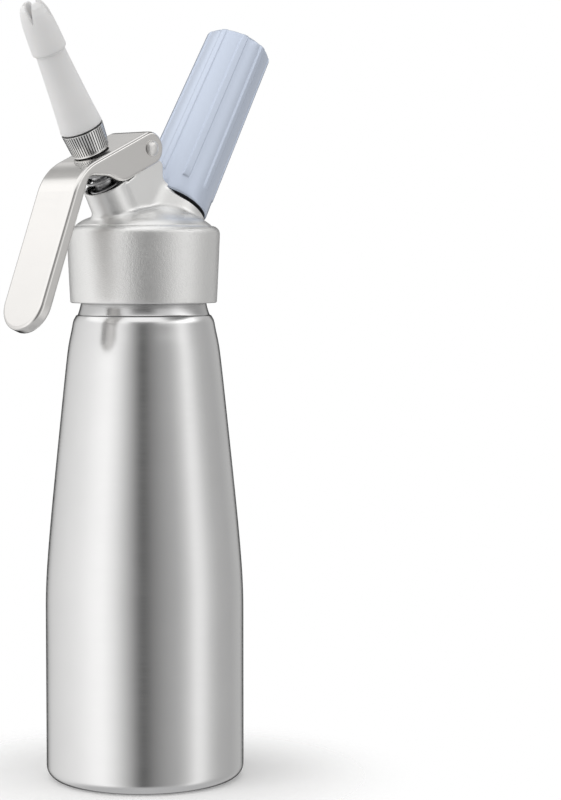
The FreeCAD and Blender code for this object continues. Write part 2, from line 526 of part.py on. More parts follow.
# ------------------------------------------------------------------ gas side
keep("piercing_insert", turned("insert", [
    (1.05, 31.6), (1.05, 29.95), (3.0, 29.95), (3.0, 31.4), (3.85, 31.4), (3.85, 33.8), (2.9, 33.8), (2.9, 35.6), (3.85, 35.6),
    (3.85, 38.3), (1.05, 38.3)], CHARGE))
keep("insert_o_ring", primitive("Torus", "insert_ring", at(CHARGE, z=34.7), Radius1=3.42, Radius2=0.48))
keep("piercing_pin", turned("needle", [
    (0.45, 31.0), (1.02, 31.0), (1.02, 42.2), (0.5, 44.0), (0.45, 44.0)], CHARGE))
keep("charger_seal", turned("seal_washer", [
    (1.3, 38.7), (4.5, 38.7), (4.5, 40.6), (1.3, 40.6)], CHARGE))
sleeve_place = Placement(Vector(10.8, 0, 0), Rotation())
keep("check_valve_sleeve", turned("sleeve", [
    (2.23, 204.4), (3.3, 204.4), (3.3, 210.9), (2.23, 210.9)], sleeve_place))

capsule = turned("capsule", [
    (1.25, 41.3), (3.9, 41.3), (3.9, "$charger_neck_end + 0.02"), ("$charger_neck", "$charger_neck_end + 0.02"), ("$charger_neck", 49.0), (5.2, 52.4), (7.6, 56.6),
    ("$charger_rad - 0.35", 59.4), ("$charger_rad", 62.0), ("$charger_rad", "$charger_end - 9.0"), (8.75, 99.8), (8.1, 102.2), (7.0, 104.3), (5.4, 105.8), (3.2, 106.5), (0, "$charger_end"),
    (0, 104.9), (3.0, 104.6), (5.6, 103.0), (6.9, 100.8), (7.4, 97.6), (7.4, 62.0), (6.2, 58.0), (3.6, 53.0), (2.6, 49.4), (2.6, 43.6), (1.25, 43.6)], CHARGE)
keep("charger_capsule", capsule)
keep("charger_cap", turned("cap", [
    (1.25, "$charger_neck_end - 0.1"), (3.8, "$charger_neck_end - 0.1"), (3.8, 41.22), (1.25, 41.22)], CHARGE))

holder = turned("holder_blank", [
    ("$holder_root + 0.4", "$holder_low"), ("$holder_low_rad - 0.75", "$holder_low"), ("$holder_low_rad - 0.22", "$holder_low + 0.22"), ("$holder_low_rad", "$holder_low + 0.75"),
    ("$holder_rad", "$holder_top - 1.4"), ("$holder_rad - 0.4", "$holder_top - 0.4"), ("$holder_rad - 1.4", "$holder_top"), (0, "$holder_top"),
    (0, "$charger_end + 0.35"), ("$holder_bore - 1.5", "$charger_end + 0.35"), ("$holder_bore", "$charger_end - 1.2"),
    ("$holder_bore", 47.9), ("$holder_root", 46.3), ("$holder_root", "$holder_low + 0.5")], CHARGE)
panels = []
for k in range(int(D["rib_count"])):
    spin = Rotation(Vector(0, 0, 1), 360.0 / D["rib_count"] * k + 180.0 + 1.0)
    block_k = primitive("Cylinder", "panel_block_%d" % k, at(CHARGE, z=D["panel_low"], rot=spin), Radius=16.0, Height=70.0, Angle="$panel_angle")
    panels.append(block_k)
panel_core = primitive("Cone", "panel_core", at(CHARGE, z=D["panel_low"] - 1), Radius1="$panel_floor", Radius2="$panel_floor_top", Height=72.0)
panel_set = cut("panel_set", fuse("panel_blocks", *panels), panel_core)
holder_thread = thread("holder_thread", CHARGE, "$holder_pitch", 8.5, "$holder_root", "$holder_crest", "$holder_low + 2.0", inward=True)
keep("charger_holder", cut("holder_done", fuse("holder_with_thread", holder, holder_thread), panel_set))

# ------------------------------------------------------------------ lever
# One strip of sheet folded into a channel: a web on top, two side flanges
# that end in round ears, and a handle whose edge is turned in all round.
sl = math.radians(D["web_slope"])
tv = Vector(math.cos(sl), 0, math.sin(sl))          # up the web, towards the pivot
nv = Vector(-math.sin(sl), 0, math.cos(sl))         # out of the web
P = Vector(px, 0, pz)
hl = math.radians(D["handle_lean"])
hd = Vector(-math.sin(hl), 0, -math.cos(hl))        # down the handle
hn = Vector(math.cos(hl), 0, -math.sin(hl))         # out of the handle, towards the bottle
H0 = Vector(-48.5, 0, 225.3)                        # a point of the handle's outer face
rim_depth = 5.4


def meet(p, d, q, e):
    """Where two lines of the XZ plane meet."""
    det = d.x * (-e.z) - (-e.x) * d.z
    s = ((q.x - p.x) * (-e.z) - (-e.x) * (q.z - p.z)) / det
    return p + d * s


def outline(inset, open_side):
    """Corners (x, z) of the side view; inset moves the outer face inwards."""
    er = D["ear_rad"]
    top = P + nv * (er - inset)
    hand = H0 + hn * inset
    knee = meet(top, tv, hand, hd)
    end = Vector(D["handle_end_x"], 0, D["handle_end_z"])
    end = hand + hd * ((end - hand).dot(hd) + (3 if open_side else 0))
    if open_side:
        rear = top + tv * 16
        return [rear, knee, end, end + hn * 14, knee + hn * 22 - hd * 4, P - nv * 11 - tv * 22, P - nv * 11 + tv * 16]
    low = P - nv * er
    rim = H0 + hn * rim_depth
    belly = Vector(-21.0, 0, 0)
    belly.z = low.z + (belly.x - low.x) * math.tan(sl)
    return [top + tv * er, knee, end, rim + hd * ((end - rim).dot(hd)), meet(rim, hd, Vector(-30, 0, 235.75), Vector(1, 0, 0)),
            Vector(-28.0, 0, 235.7), belly, low + tv * er]


def channel_body(name, corners, width):
    body = new_body(name)
    sk = polygon_sketch(body, name + "_outline", [(round(c.x, 4), round(c.z, 4)) for c in corners])
    pd = body.newObject("PartDesign::Pad", name + "_pad")
    pd.Profile = sk
    bind(pd, "Length", width)
    pd.Midplane = True
    doc.recompute()
    return body


oc = outline(0.0, False)
blank = channel_body("lever_blank", oc, "$lever_width")
xz = [(c.x, c.z) for c in oc]
fillet_spots(blank, "lever_ear_round", "$ear_rad - 0.05", [xz[0], xz[7]])
fillet_spots(blank, "lever_knee", 21.0, [xz[1]])
fillet_spots(blank, "lever_notch", 4.0, [xz[4]])
fillet_spots(blank, "lever_belly", 10.0, [xz[6]])
fillet_spots(blank, "lever_waist", 9.0, [xz[5]])
ic = outline(D["sheet_thick"], True)
core = channel_body("lever_core", ic, "$lever_width - 2 * $sheet_thick")
fillet_spots(core, "lever_core_knee", 21.0 - D["sheet_thick"], [(ic[1].x, ic[1].z)])


def stadium(name, width, reach):
    """Straight strip with a half-round end, seen square to the handle."""
    end = H0 + hd * (Vector(D["handle_end_x"], 0, D["handle_end_z"]) - H0).dot(hd)
    centre = end - hd * (D["lever_width"] / 2)
    place = Placement(centre - hn * 40, Rotation(hd, Vector(0, 1, 0), hn, "ZXY"))
    strip = primitive("Box", name + "_strip", at(place, x=-120, y=-value(width) / 2 if "/" not in width else 0), Length=120.0, Height=90.0)
    bind(strip, "Width", width)
    half = primitive("Cylinder", name + "_end", place, Height=90.0)
    bind(half, "Radius", "(" + width + ") / 2")
    return fuse(name, strip, half)


plan_outer = stadium("lever_plan", "$lever_width", 0)
plan_inner = stadium("lever_core_plan", "$lever_width - $sheet_thick - $sheet_thick", 0)
shell = common("lever_outer", blank, plan_outer)
hollow_core = common("lever_hollow", core, plan_inner)


def fold_edges(shape):
    """The edges where the outer face of web, knee and handle turns into the flanges."""
    out = []
    half = D["lever_width"] / 2
    end_c = H0 + hd * ((Vector(D["handle_end_x"], 0, D["handle_end_z"]) - H0).dot(hd) - half)
    for i, e in enumerate(shape.Edges, start=1):
        mid = e.valueAt((e.FirstParameter + e.LastParameter) / 2)
        ends = [v.Point for v in e.Vertexes]
        pts3 = [mid] + ends
        ok = True
        for q in pts3:
            on_web = abs((q - P).dot(nv) - D["ear_rad"]) < 0.02
            on_hand = abs((q - H0).dot(hn)) < 0.02
            rel = (q - end_c)
            on_side = abs(abs(q.y) - half) < 0.02
            on_round = abs(math.hypot(rel.dot(hd), q.y) - half) < 0.05 and rel.dot(hd) > -0.05
            knee_c = kc
            on_knee = abs(math.hypot(q.x - knee_c.x, q.z - knee_c.z) - 21.0) < 0.03 and q.x < -34 and q.z > 226
            if not ((on_web or on_hand or on_knee) and (on_side or on_round)):
                ok = False
        if ok and e.Length > 0.5 and not (abs(ends[0].y - ends[-1].y) > 20 and abs(abs(mid.y) - 0) < 0.1 and abs((mid - end_c).dot(hd) - half) > 0.05):
            out.append("Edge%d" % i)
    return out


# centre of the knee's bend
off_top = P + nv * (D["ear_rad"] - 21.0)
off_hand = H0 + hn * 21.0
kc = meet(off_top, tv, off_hand, hd)
names = fold_edges(shell.Shape)
rounded = doc.addObject("Part::Fillet", "lever_folded")
rounded.Base = shell
rounded.Edges = [(int(n[4:]), D["fold_rad"], D["fold_rad"]) for n in names]
doc.recompute()
if rounded.Shape.isNull() or not rounded.Shape.isValid() or rounded.Shape.Volume > shell.Shape.Volume:
    print("lever fold rounding not made", names, rounded.State)
    rounded = shell
hole_place = Placement(P - tv * D["stem_hole_along"] + nv * 12, Rotation(Vector(0, 0, 1), -nv))
web_hole = primitive("Cylinder", "web_hole", hole_place, Radius="$stem_hole", Height=9.0)
ear_gap = primitive("Box", "ear_gap", Placement(Vector(D["web_rear_x"], 0, 225), Rotation()), Length=20.0, Height=40.0)
bind(ear_gap, "Width", "$lever_width - 2 * $sheet_thick")
bind(ear_gap, "Placement.Base.y", "0 - ($lever_width - 2 * $sheet_thick) / 2")
ear_hole = primitive("Cylinder", "ear_hole", Placement(Vector(px, 20, pz), Rotation(Vector(1, 0, 0), 90)), Radius="$pin_rad + 0.06", Height=40.0)
keep("lever", cut("lever_done", rounded, fuse("lever_tools", hollow_core, web_hole, ear_gap, ear_hole)))

# ------------------------------------------------------------------ write
doc.recompute()
bad = [o.Name for o in doc.Objects if "Invalid" in o.State or "Error" in o.State]
if bad:
    raise SystemExit("objects that failed: %s" % bad)
for node, obj in parts.items():
    s = obj.Shape
    if s.isNull() or not s.isValid():
        raise SystemExit("bad shape: " + node)
    b = s.BoundBox
    print("%-20s solids %d  volume %9.1f  x %7.1f %7.1f  y %6.1f %6.1f  z %6.1f %6.1f" % (
        node, len(s.Solids), s.Volume, b.XMin, b.XMax, b.YMin, b.YMax, b.ZMin, b.ZMax))
for node, obj in parts.items():
    obj.Shape.exportStep("parts/%s.step" % node)
print("wrote", len(parts))
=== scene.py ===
import math

import bmesh
import bpy
import numpy as np
from mathutils import Matrix, Vector


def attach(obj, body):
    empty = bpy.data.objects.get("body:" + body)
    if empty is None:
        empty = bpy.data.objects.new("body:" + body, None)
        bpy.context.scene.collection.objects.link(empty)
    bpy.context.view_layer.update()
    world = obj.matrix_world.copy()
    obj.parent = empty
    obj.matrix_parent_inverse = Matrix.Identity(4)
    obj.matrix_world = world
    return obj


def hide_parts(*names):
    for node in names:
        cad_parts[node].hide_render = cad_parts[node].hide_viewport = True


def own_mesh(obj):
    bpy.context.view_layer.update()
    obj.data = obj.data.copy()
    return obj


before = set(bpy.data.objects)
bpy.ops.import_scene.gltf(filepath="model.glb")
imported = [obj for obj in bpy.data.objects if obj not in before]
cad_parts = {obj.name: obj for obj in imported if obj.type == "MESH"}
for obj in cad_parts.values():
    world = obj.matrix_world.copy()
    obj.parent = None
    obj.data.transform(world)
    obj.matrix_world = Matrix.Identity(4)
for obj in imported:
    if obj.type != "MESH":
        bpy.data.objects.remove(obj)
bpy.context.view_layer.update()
MM = 0.001
scene = bpy.context.scene

# ---------------------------------------------------------------- frames
# Nozzle frame: local Z runs up the stem and the tip.  Charger frame: local Z
# runs up the charger holder.
NOZZLE_AXIS = (-30.0, 0.0, 197.0)          # lean, x and z of its origin
CHARGER_AXIS = (31.54, -2.3, 197.1)


def axis_frame(lean, x, z):
    s, c = math.sin(math.radians(lean)), math.cos(math.radians(lean))
    return Matrix(((c, 0, s, x), (0, 1, 0, 0), (-s, 0, c, z), (0, 0, 0, 1)))


NOZ = axis_frame(*NOZZLE_AXIS)
CHG = axis_frame(*CHARGER_AXIS)
ONE = Matrix.Identity(4)


# ---------------------------------------------------------------- mesh tools
def finish_mesh(name, verts, faces, place=ONE, body=None, sharp=None, mat=None, smooth=True):
    """A mesh object from millimetre points; sharp is the crease angle in degrees."""
    me = bpy.data.meshes.new(name)
    me.from_pydata([tuple(place @ Vector(v) * MM) for v in verts], [], faces)
    me.validate()
    bm = bmesh.new()
    bm.from_mesh(me)
    bmesh.ops.remove_doubles(bm, verts=bm.verts, dist=2e-6)
    bmesh.ops.recalc_face_normals(bm, faces=bm.faces)
    for f in bm.faces:
        f.smooth = smooth
    if sharp is not None:
        lim = math.radians(sharp)
        for e in bm.edges:
            if len(e.link_faces) == 2 and e.calc_face_angle(0) > lim:
                e.smooth = False
    bm.to_mesh(me)
    bm.free()
    ob = bpy.data.objects.new(name, me)
    scene.collection.objects.link(ob)
    if mat is not None:
        me.materials.append(mat)
    if body:
        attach(ob, body)
    return ob


def lathe_data(prof, seg=160, closed=True):
    verts, faces, rings = [], [], []
    for r, z in prof:
        if r < 1e-6:
            rings.append([len(verts)])
            verts.append((0, 0, z))
        else:
            base = len(verts)
            rings.append(list(range(base, base + seg)))
            for i in range(seg):
                t = 2 * math.pi * i / seg
                verts.append((r * math.cos(t), r * math.sin(t), z))
    n = len(prof)
    for k in range(n if closed else n - 1):
        a, b = rings[k], rings[(k + 1) % n]
        if len(a) == 1 and len(b) == 1:
            continue
        for i in range(seg):
            j = (i + 1) % seg
            if len(a) == 1:
                faces.append((a[0], b[j], b[i]))
            elif len(b) == 1:
                faces.append((a[i], a[j], b[0]))
            else:
                faces.append((a[i], a[j], b[j], b[i]))
    return verts, faces


def lathe(name, prof, place=ONE, body=None, seg=160, sharp=32, mat=None, closed=True):
    v, f = lathe_data(prof, seg, closed)
    return finish_mesh(name, v, f, place, body, sharp, mat)


def arc(cr, cz, rad, a0, a1, n=8):
    """Points of an arc in the (radius, height) plane."""
    return [(cr + rad * math.cos(math.radians(a0 + (a1 - a0) * i / n)),
             cz + rad * math.sin(math.radians(a0 + (a1 - a0) * i / n))) for i in range(n + 1)]


def rounded(points, radii, n=5):
    """A polyline with its corners rounded: points and a radius for each."""
    out = []
    m = len(points)
    for i, (p, r) in enumerate(zip(points, radii)):
        if r <= 0 or i in (0, m - 1):
            out.append(p)
            continue
        a, b, c = Vector(points[i - 1]), Vector(p), Vector(points[i + 1])
        u, w = (a - b).normalized(), (c - b).normalized()
        ang = u.angle(w)
        if ang > math.pi - 0.02:
            out.append(p)
            continue
        t = min(r / math.tan(ang / 2), 0.48 * (a - b).length, 0.48 * (c - b).length)
        q0, q1 = b + u * t, b + w * t
        for k in range(n + 1):
            s = k / n
            q = q0 * (1 - s) ** 2 + b * 2 * s * (1 - s) + q1 * s ** 2
            out.append((q.x, q.y))
    return out


def rounded_loop(points, radii, n=5):
    """The same for a closed outline."""
    out = []
    m = len(points)
    for i, (p, r) in enumerate(zip(points, radii)):
        if r <= 0:
            out.append(p)
            continue
        a, b, c = Vector(points[i - 1]), Vector(p), Vector(points[(i + 1) % m])
        u, w = (a - b).normalized(), (c - b).normalized()
        ang = u.angle(w)
        if ang > math.pi - 0.02:
            out.append(p)
            continue
        t = min(r / math.tan(ang / 2), 0.48 * (a - b).length, 0.48 * (c - b).length)
        q0, q1 = b + u * t, b + w * t
        for k in range(n + 1):
            s = k / n
            q = q0 * (1 - s) ** 2 + b * 2 * s * (1 - s) + q1 * s ** 2
            out.append((q.x, q.y))
    return out


def hermite(points, t0, t1, step=2.0):
    """A smooth curve through (radius, height) points, with given end slopes dr/dz."""
    z = np.array([p[1] for p in points])
    r = np.array([p[0] for p in points])
    n = len(z)
    A, rhs = np.zeros((n, n)), np.zeros(n)
    h = np.diff(z)
    A[0, 0], A[-1, -1], rhs[0], rhs[-1] = 1, 1, t0, t1
    for i in range(1, n - 1):
        A[i, i - 1], A[i, i], A[i, i + 1] = 1 / h[i - 1], 2 * (1 / h[i - 1] + 1 / h[i]), 1 / h[i]
        rhs[i] = 3 * ((r[i] - r[i - 1]) / h[i - 1] ** 2 + (r[i + 1] - r[i]) / h[i] ** 2)
    m = np.linalg.solve(A, rhs)
    out = []
    for i in range(n - 1):
        k = max(2, int(math.ceil(h[i] / step)))
        for j in range(k):
            s = j / k
            a = r[i] * (1 + 2 * s) * (1 - s) ** 2 + m[i] * h[i] * s * (1 - s) ** 2
            b = r[i + 1] * s * s * (3 - 2 * s) + m[i + 1] * h[i] * s * s * (s - 1)
            out.append((a + b, z[i] + h[i] * s))
    out.append((r[-1], z[-1]))
    return out


def ridge(name, place, foot, crest, z0, pitch, turns, half_foot, half_flat, body, mat, bite=0.25, seg=72, fade=0.35):
    """A thread's helical ridge, which fades out at both ends."""
    sign = 1 if crest > foot else -1
    n = int(seg * turns)
    verts, faces = [], []
    for i in range(n + 1):
        t = i / seg
        a = 2 * math.pi * t
        k = min(1.0, t / fade, (turns - t) / fade)
        k = max(0.02, k * k * (3 - 2 * k))
        c = foot + (crest - foot) * k
        hf, ht = half_foot * (0.55 + 0.45 * k), half_flat * k
        zc = z0 + pitch * t
        sec = [(foot - sign * bite, zc - hf), (c - (c - foot) * 0.12, zc - ht - 0.06), (c, zc - ht * 0.5), (c, zc + ht * 0.5),
               (c - (c - foot) * 0.12, zc + ht + 0.06), (foot - sign * bite, zc + hf)]
        for r, z in sec:
            verts.append((r * math.cos(a), r * math.sin(a), z))
    m = 6
    for i in range(n):
        for j in range(m):
            a0, a1 = i * m + j, i * m + (j + 1) % m
            faces.append((a0, a1, a1 + m, a0 + m))
    faces.append(tuple(range(m))[::-1])
    faces.append(tuple(range(n * m, n * m + m)))
    return finish_mesh(name, verts, faces, place, body, 50, mat)


def surface_nets(F, origin, h):
    """Closed quad mesh of the zero level of a sampled field (inside is negative)."""
    ins = F < 0
    nx, ny, nz = F.shape
    cnt = np.zeros((nx - 1, ny - 1, nz - 1), np.int8)
    for a in (0, 1):
        for b in (0, 1):
            for c in (0, 1):
                cnt += ins[a:nx - 1 + a, b:ny - 1 + b, c:nz - 1 + c]
    act = (cnt > 0) & (cnt < 8)
    idx = -np.ones(act.shape, np.int64)
    cells = np.argwhere(act)
    idx[act] = np.arange(len(cells))
    acc, num = np.zeros((len(cells), 3)), np.zeros(len(cells))
    corners = [(a, b, c) for a in (0, 1) for b in (0, 1) for c in (0, 1)]
    for p in corners:
        for ax in range(3):
            if p[ax]:
                continue
            q = list(p)
            q[ax] = 1
            fp = F[cells[:, 0] + p[0], cells[:, 1] + p[1], cells[:, 2] + p[2]]
            fq = F[cells[:, 0] + q[0], cells[:, 1] + q[1], cells[:, 2] + q[2]]
            cross = (fp < 0) != (fq < 0)
            t = np.where(cross, fp / np.where(fp == fq, 1, fp - fq), 0)
            pt = np.array(p, float)[None, :] + np.zeros((len(cells), 3))
            pt[:, ax] += t
            acc += pt * cross[:, None]
            num += cross
    pos = (cells + acc / num[:, None]) * h + np.array(origin)[None, :]
    quads = []
    for ax in range(3):
        o1, o2 = (ax + 1) % 3, (ax + 2) % 3
        lo = [slice(None)] * 3
        hi = [slice(None)] * 3
        lo[ax], hi[ax] = slice(0, F.shape[ax] - 1), slice(1, F.shape[ax])
        A, B = ins[tuple(lo)], ins[tuple(hi)]
        e = np.argwhere(A != B)
        keep = (e[:, o1] > 0) & (e[:, o2] > 0) & (e[:, o1] < F.shape[o1] - 1) & (e[:, o2] < F.shape[o2] - 1)
        e = e[keep]
        flip = A[e[:, 0], e[:, 1], e[:, 2]]
        ring = []
        for d1, d2 in ((0, 0), (-1, 0), (-1, -1), (0, -1)):
            c = e.copy()
            c[:, o1] += d1
            c[:, o2] += d2
            ring.append(idx[c[:, 0], c[:, 1], c[:, 2]])
        q = np.stack(ring, 1)
        q[~flip] = q[~flip][:, ::-1]
        quads.append(q)
    return pos, np.concatenate(quads)


def solid_from_field(name, field, lo, hi, h, body, mat, flat_normals=True):
    """Meshes a signed distance field in the box lo..hi (mm) on a grid of h."""
    lo, hi = np.array(lo, float), np.array(hi, float)
    n = np.ceil((hi - lo) / h).astype(int) + 1
    ax = [lo[i] + h * np.arange(n[i]) for i in range(3)]
    X, Y, Z = np.meshgrid(*ax, indexing="ij")
    F = field(X, Y, Z)
    pos, quads = surface_nets(F, lo, h)

    def grad(P):
        e = 0.02
        g = np.zeros_like(P)
        for i in range(3):
            d = np.zeros(3)
            d[i] = e
            g[:, i] = (field(*(P + d).T) - field(*(P - d).T)) / (2 * e)
        return g
    for _ in range(3):
        f = field(*pos.T)
        g = grad(pos)
        g2 = np.maximum((g ** 2).sum(1), 0.05)
        step = -(f / g2)[:, None] * g
        ln = np.linalg.norm(step, axis=1)
        step *= np.minimum(1, 0.6 * h / np.maximum(ln, 1e-9))[:, None]
        pos = pos + step
    g = grad(pos)
    nrm = g / np.maximum(np.linalg.norm(g, axis=1), 1e-9)[:, None]
    me = bpy.data.meshes.new(name)
    me.from_pydata((pos * MM).tolist(), [], quads.tolist())
    me.validate()
    me.polygons.foreach_set("use_smooth", [True] * len(me.polygons))
    ob = bpy.data.objects.new(name, me)
    scene.collection.objects.link(ob)
    if flat_normals and len(me.vertices) == len(nrm):
        me.normals_split_custom_set_from_vertices(nrm.tolist())
    me.materials.append(mat)
    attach(ob, body)
    return ob


def smin(a, b, k):
    h = np.maximum(k - np.abs(a - b), 0) / k
    return np.minimum(a, b) - h * h * k * 0.25


def smax(a, b, k):
    return -smin(-a, -b, k)


def poly_dist(X, Z, pts):
    """Signed distance to a closed polygon of the XZ plane."""
    d = np.full(X.shape, 1e9)
    s = np.ones(X.shape)
    n = len(pts)
    for i in range(n):
        ax_, az_ = pts[i]
        bx, bz = pts[i - 1]
        ex, ez = bx - ax_, bz - az_
        wx, wz = X - ax_, Z - az_
        t = np.clip((wx * ex + wz * ez) / (ex * ex + ez * ez), 0, 1)
        dx, dz = wx - ex * t, wz - ez * t
        d = np.minimum(d, dx * dx + dz * dz)
        c1, c2, c3 = Z >= az_, Z < bz, ex * wz > ez * wx
        s = np.where((c1 & c2 & c3) | (~c1 & ~c2 & ~c3), -s, s)
    return s * np.sqrt(d)


def local(X, Y, Z, axis):
    """Coordinates along one of the two leaning axes."""
    s, c = math.sin(math.radians(axis[0])), math.cos(math.radians(axis[0]))
    xx, zz = X - axis[1], Z - axis[2]
    return xx * c - zz * s, Y, xx * s + zz * c


# ---------------------------------------------------------------- materials
class Nodes:
    """Small helper that lays out a material's node tree."""

    def __init__(self, name):
        self.mat = bpy.data.materials.new(name)
        self.mat.use_nodes = True
        self.nt = self.mat.node_tree
        self.bsdf = self.nt.nodes["Principled BSDF"]

    def add(self, kind, **props):
        n = self.nt.nodes.new(kind)
        for k, v in props.items():
            setattr(n, k, v)
        return n

    def link(self, a, b):
        self.nt.links.new(a, b)

    def coords(self, scale=(1, 1, 1)):
        tc = self.add("ShaderNodeTexCoord")
        mp = self.add("ShaderNodeMapping")
        mp.inputs["Scale"].default_value = scale
        self.link(tc.outputs["Object"], mp.inputs["Vector"])
        return mp.outputs["Vector"]

    def noise(self, scale, vec, detail=3.0, rough=0.55, distort=0.0):
        n = self.add("ShaderNodeTexNoise")
        n.inputs["Scale"].default_value = scale
        n.inputs["Detail"].default_value = detail
        n.inputs["Roughness"].default_value = rough
        n.inputs["Distortion"].default_value = distort
        self.link(vec, n.inputs["Vector"])
        return n.outputs["Fac"]

    def ramp(self, fac, stops):
        r = self.add("ShaderNodeValToRGB")
        els = r.color_ramp.elements
        while len(els) < len(stops):
            els.new(0.5)
        for e, (p, c) in zip(els, stops):
            e.position = p
            e.color = (c, c, c, 1) if not isinstance(c, tuple) else (*c, 1)
        self.link(fac, r.inputs["Fac"])
        return r.outputs["Color"]

    def span(self, fac, lo, hi, a=0.0, b=1.0):
        m = self.add("ShaderNodeMapRange")
        m.inputs["From Min"].default_value = a
        m.inputs["From Max"].default_value = b
        m.inputs["To Min"].default_value = lo
        m.inputs["To Max"].default_value = hi
        self.link(fac, m.inputs["Value"])
        return m.outputs["Result"]

    def math(self, op, a, b=None):
        m = self.add("ShaderNodeMath", operation=op)
        for i, v in enumerate((a, b)):
            if v is None:
                continue
            if isinstance(v, (int, float)):
                m.inputs[i].default_value = v
            else:
                self.link(v, m.inputs[i])
        return m.outputs[0]

    def bump(self, height, strength, distance, normal=None):
        b = self.add("ShaderNodeBump")
        b.inputs["Strength"].default_value = strength
        b.inputs["Distance"].default_value = distance
        self.link(height, b.inputs["Height"])
        if normal is not None:
            self.link(normal, b.inputs["Normal"])
        return b.outputs["Normal"]


def metal(name, tone, rough, grain=None, grain_scale=(60, 60, 2600), grain_depth=2e-6, spread=0.05,
          blast=None, aniso=0.0, edge=None, mottle=0.03):
    """Bare metal: brushed (stretched noise), bead-blasted (fine grain) or both."""
    m = Nodes(name)
    b = m.bsdf
    b.inputs["Metallic"].default_value = 1.0
    b.inputs["Anisotropic"].default_value = aniso
    big = m.noise(45.0, m.coords(), 4.0, 0.6)
    lo = tuple(max(0, c * (1 - mottle)) for c in tone)
    hi = tuple(min(1, c * (1 + mottle)) for c in tone)
    col = m.ramp(big, [(0.3, lo), (0.7, hi)])
    m.link(col, b.inputs["Base Color"])
    normal = None
    rsrc = big
    if grain:
        g = m.noise(1.0, m.coords(grain_scale), 2.0, 0.5)
        rsrc = m.math("ADD", m.math("MULTIPLY", g, 0.7), m.math("MULTIPLY", big, 0.3))
        normal = m.bump(g, grain, grain_depth)
    if blast:
        f = m.noise(blast[0], m.coords(), 2.0, 0.6)
        f2 = m.noise(blast[0] * 0.33, m.coords(), 2.0, 0.6)
        s = m.math("ADD", m.math("MULTIPLY", f, 0.65), m.math("MULTIPLY", f2, 0.35))
        normal = m.bump(s, blast[1], blast[2], normal)
        rsrc = m.math("ADD", m.math("MULTIPLY", s, 0.5), m.math("MULTIPLY", rsrc, 0.5))
    m.link(m.span(rsrc, rough - spread, rough + spread, 0.25, 0.75), b.inputs["Roughness"])
    if normal is not None:
        m.link(normal, b.inputs["Normal"])
    if aniso:
        t = m.add("ShaderNodeTangent", direction_type="RADIAL", axis="Z")
        m.link(t.outputs[0], b.inputs["Tangent"])
    return m.mat


def plastic(name, lo, hi, rough, coat=0.0, sss=0.0, grain=(900.0, 0.06, 3e-5), ior=1.46, sss_col=None, rough_spread=0.05, blotch=28.0):
    m = Nodes(name)
    b = m.bsdf
    b.inputs["IOR"].default_value = ior
    b.inputs["Coat Weight"].default_value = coat
    b.inputs["Coat Roughness"].default_value = 0.06
    if sss:
        b.inputs["Subsurface Weight"].default_value = sss
        b.inputs["Subsurface Radius"].default_value = sss_col or (1.0, 0.95, 0.9)
        b.inputs["Subsurface Scale"].default_value = 0.004
    big = m.noise(blotch, m.coords(), 3.0, 0.5)
    m.link(m.ramp(big, [(0.3, lo), (0.7, hi)]), b.inputs["Base Color"])
    fine = m.noise(grain[0], m.coords(), 3.0, 0.6)
    m.link(m.span(m.math("ADD", m.math("MULTIPLY", fine, 0.6), m.math("MULTIPLY", big, 0.4)), rough - rough_spread, rough + rough_spread, 0.25, 0.75), b.inputs["Roughness"])
    m.link(m.bump(fine, grain[1], grain[2]), b.inputs["Normal"])
    return m.mat


M_BOTTLE = metal("bottle_brushed", (0.86, 0.86, 0.865), 0.2, grain=0.25, grain_scale=(26, 26, 3000), grain_depth=1.5e-5, aniso=0.35, spread=0.05, mottle=0.015)
M_NECK = metal("bottle_turned", (0.66, 0.66, 0.665), 0.2, grain=0.3, grain_scale=(10, 10, 4200), grain_depth=1.2e-5, aniso=0.3, mottle=0.02)
M_INSIDE = metal("bottle_inside", (0.8, 0.8, 0.8), 0.4, blast=(1400.0, 0.2, 3e-5))
M_CAST = metal("head_blasted", (0.975, 0.975, 0.97), 0.32, blast=(2500.0, 0.8, 2.6e-4), mottle=0.02)
M_BODY = metal("body_blasted", (0.975, 0.975, 0.97), 0.37, blast=(2300.0, 0.35, 1.5e-4), mottle=0.02)
M_PORT = metal("port_machined", (0.8, 0.8, 0.8), 0.25, grain=0.3, grain_scale=(900, 900, 900), grain_depth=1e-5)
M_LEVER = metal("lever_polished", (0.87, 0.855, 0.84), 0.17, grain=0.12, grain_scale=(700, 60, 700), grain_depth=8e-6, spread=0.04, mottle=0.02)
M_PIN = metal("pin_polished", (0.9, 0.89, 0.88), 0.4, grain=0.15, grain_scale=(900, 900, 900), grain_depth=6e-6, spread=0.05)
# Near-black material, painted shade in the knurl's grooves; it also darkens the adapter's shank and the step under the
# spigot.
M_DARK_GROOVE_SHADE = metal("adapter_groove", (0.1, 0.1, 0.1), 0.4, blast=(1500.0, 0.2, 3e-5))
M_KNURL = metal("adapter_turned", (0.9, 0.9, 0.895), 0.22, grain=0.2, grain_scale=(1200, 1200, 1200), grain_depth=1e-5)
M_STEM = metal("stem_turned", (0.66, 0.66, 0.67), 0.25, grain=0.3, grain_scale=(1500, 200, 1500), grain_depth=1e-5)
M_SPRING = metal("spring_wire", (0.55, 0.55, 0.56), 0.25, grain=0.2, grain_scale=(700, 700, 700), grain_depth=1e-5)
M_BRASS = metal("insert_turned", (0.86, 0.63, 0.30), 0.25, grain=0.25, grain_scale=(900, 900, 900), grain_depth=1e-5)
M_CAPSULE = metal("capsule_plated", (0.74, 0.74, 0.75), 0.3, grain=0.2, grain_scale=(120, 120, 900), grain_depth=1.5e-5, blast=(900.0, 0.1, 4e-5))
M_RUBBER = plastic("rubber_black", (0.018, 0.018, 0.02), (0.035, 0.035, 0.037), 0.55, grain=(1800.0, 0.25, 6e-5), ior=1.5)
M_RED = plastic("rubber_red", (0.38, 0.05, 0.04), (0.5, 0.08, 0.06), 0.5, grain=(1500.0, 0.2, 6e-5), ior=1.5)
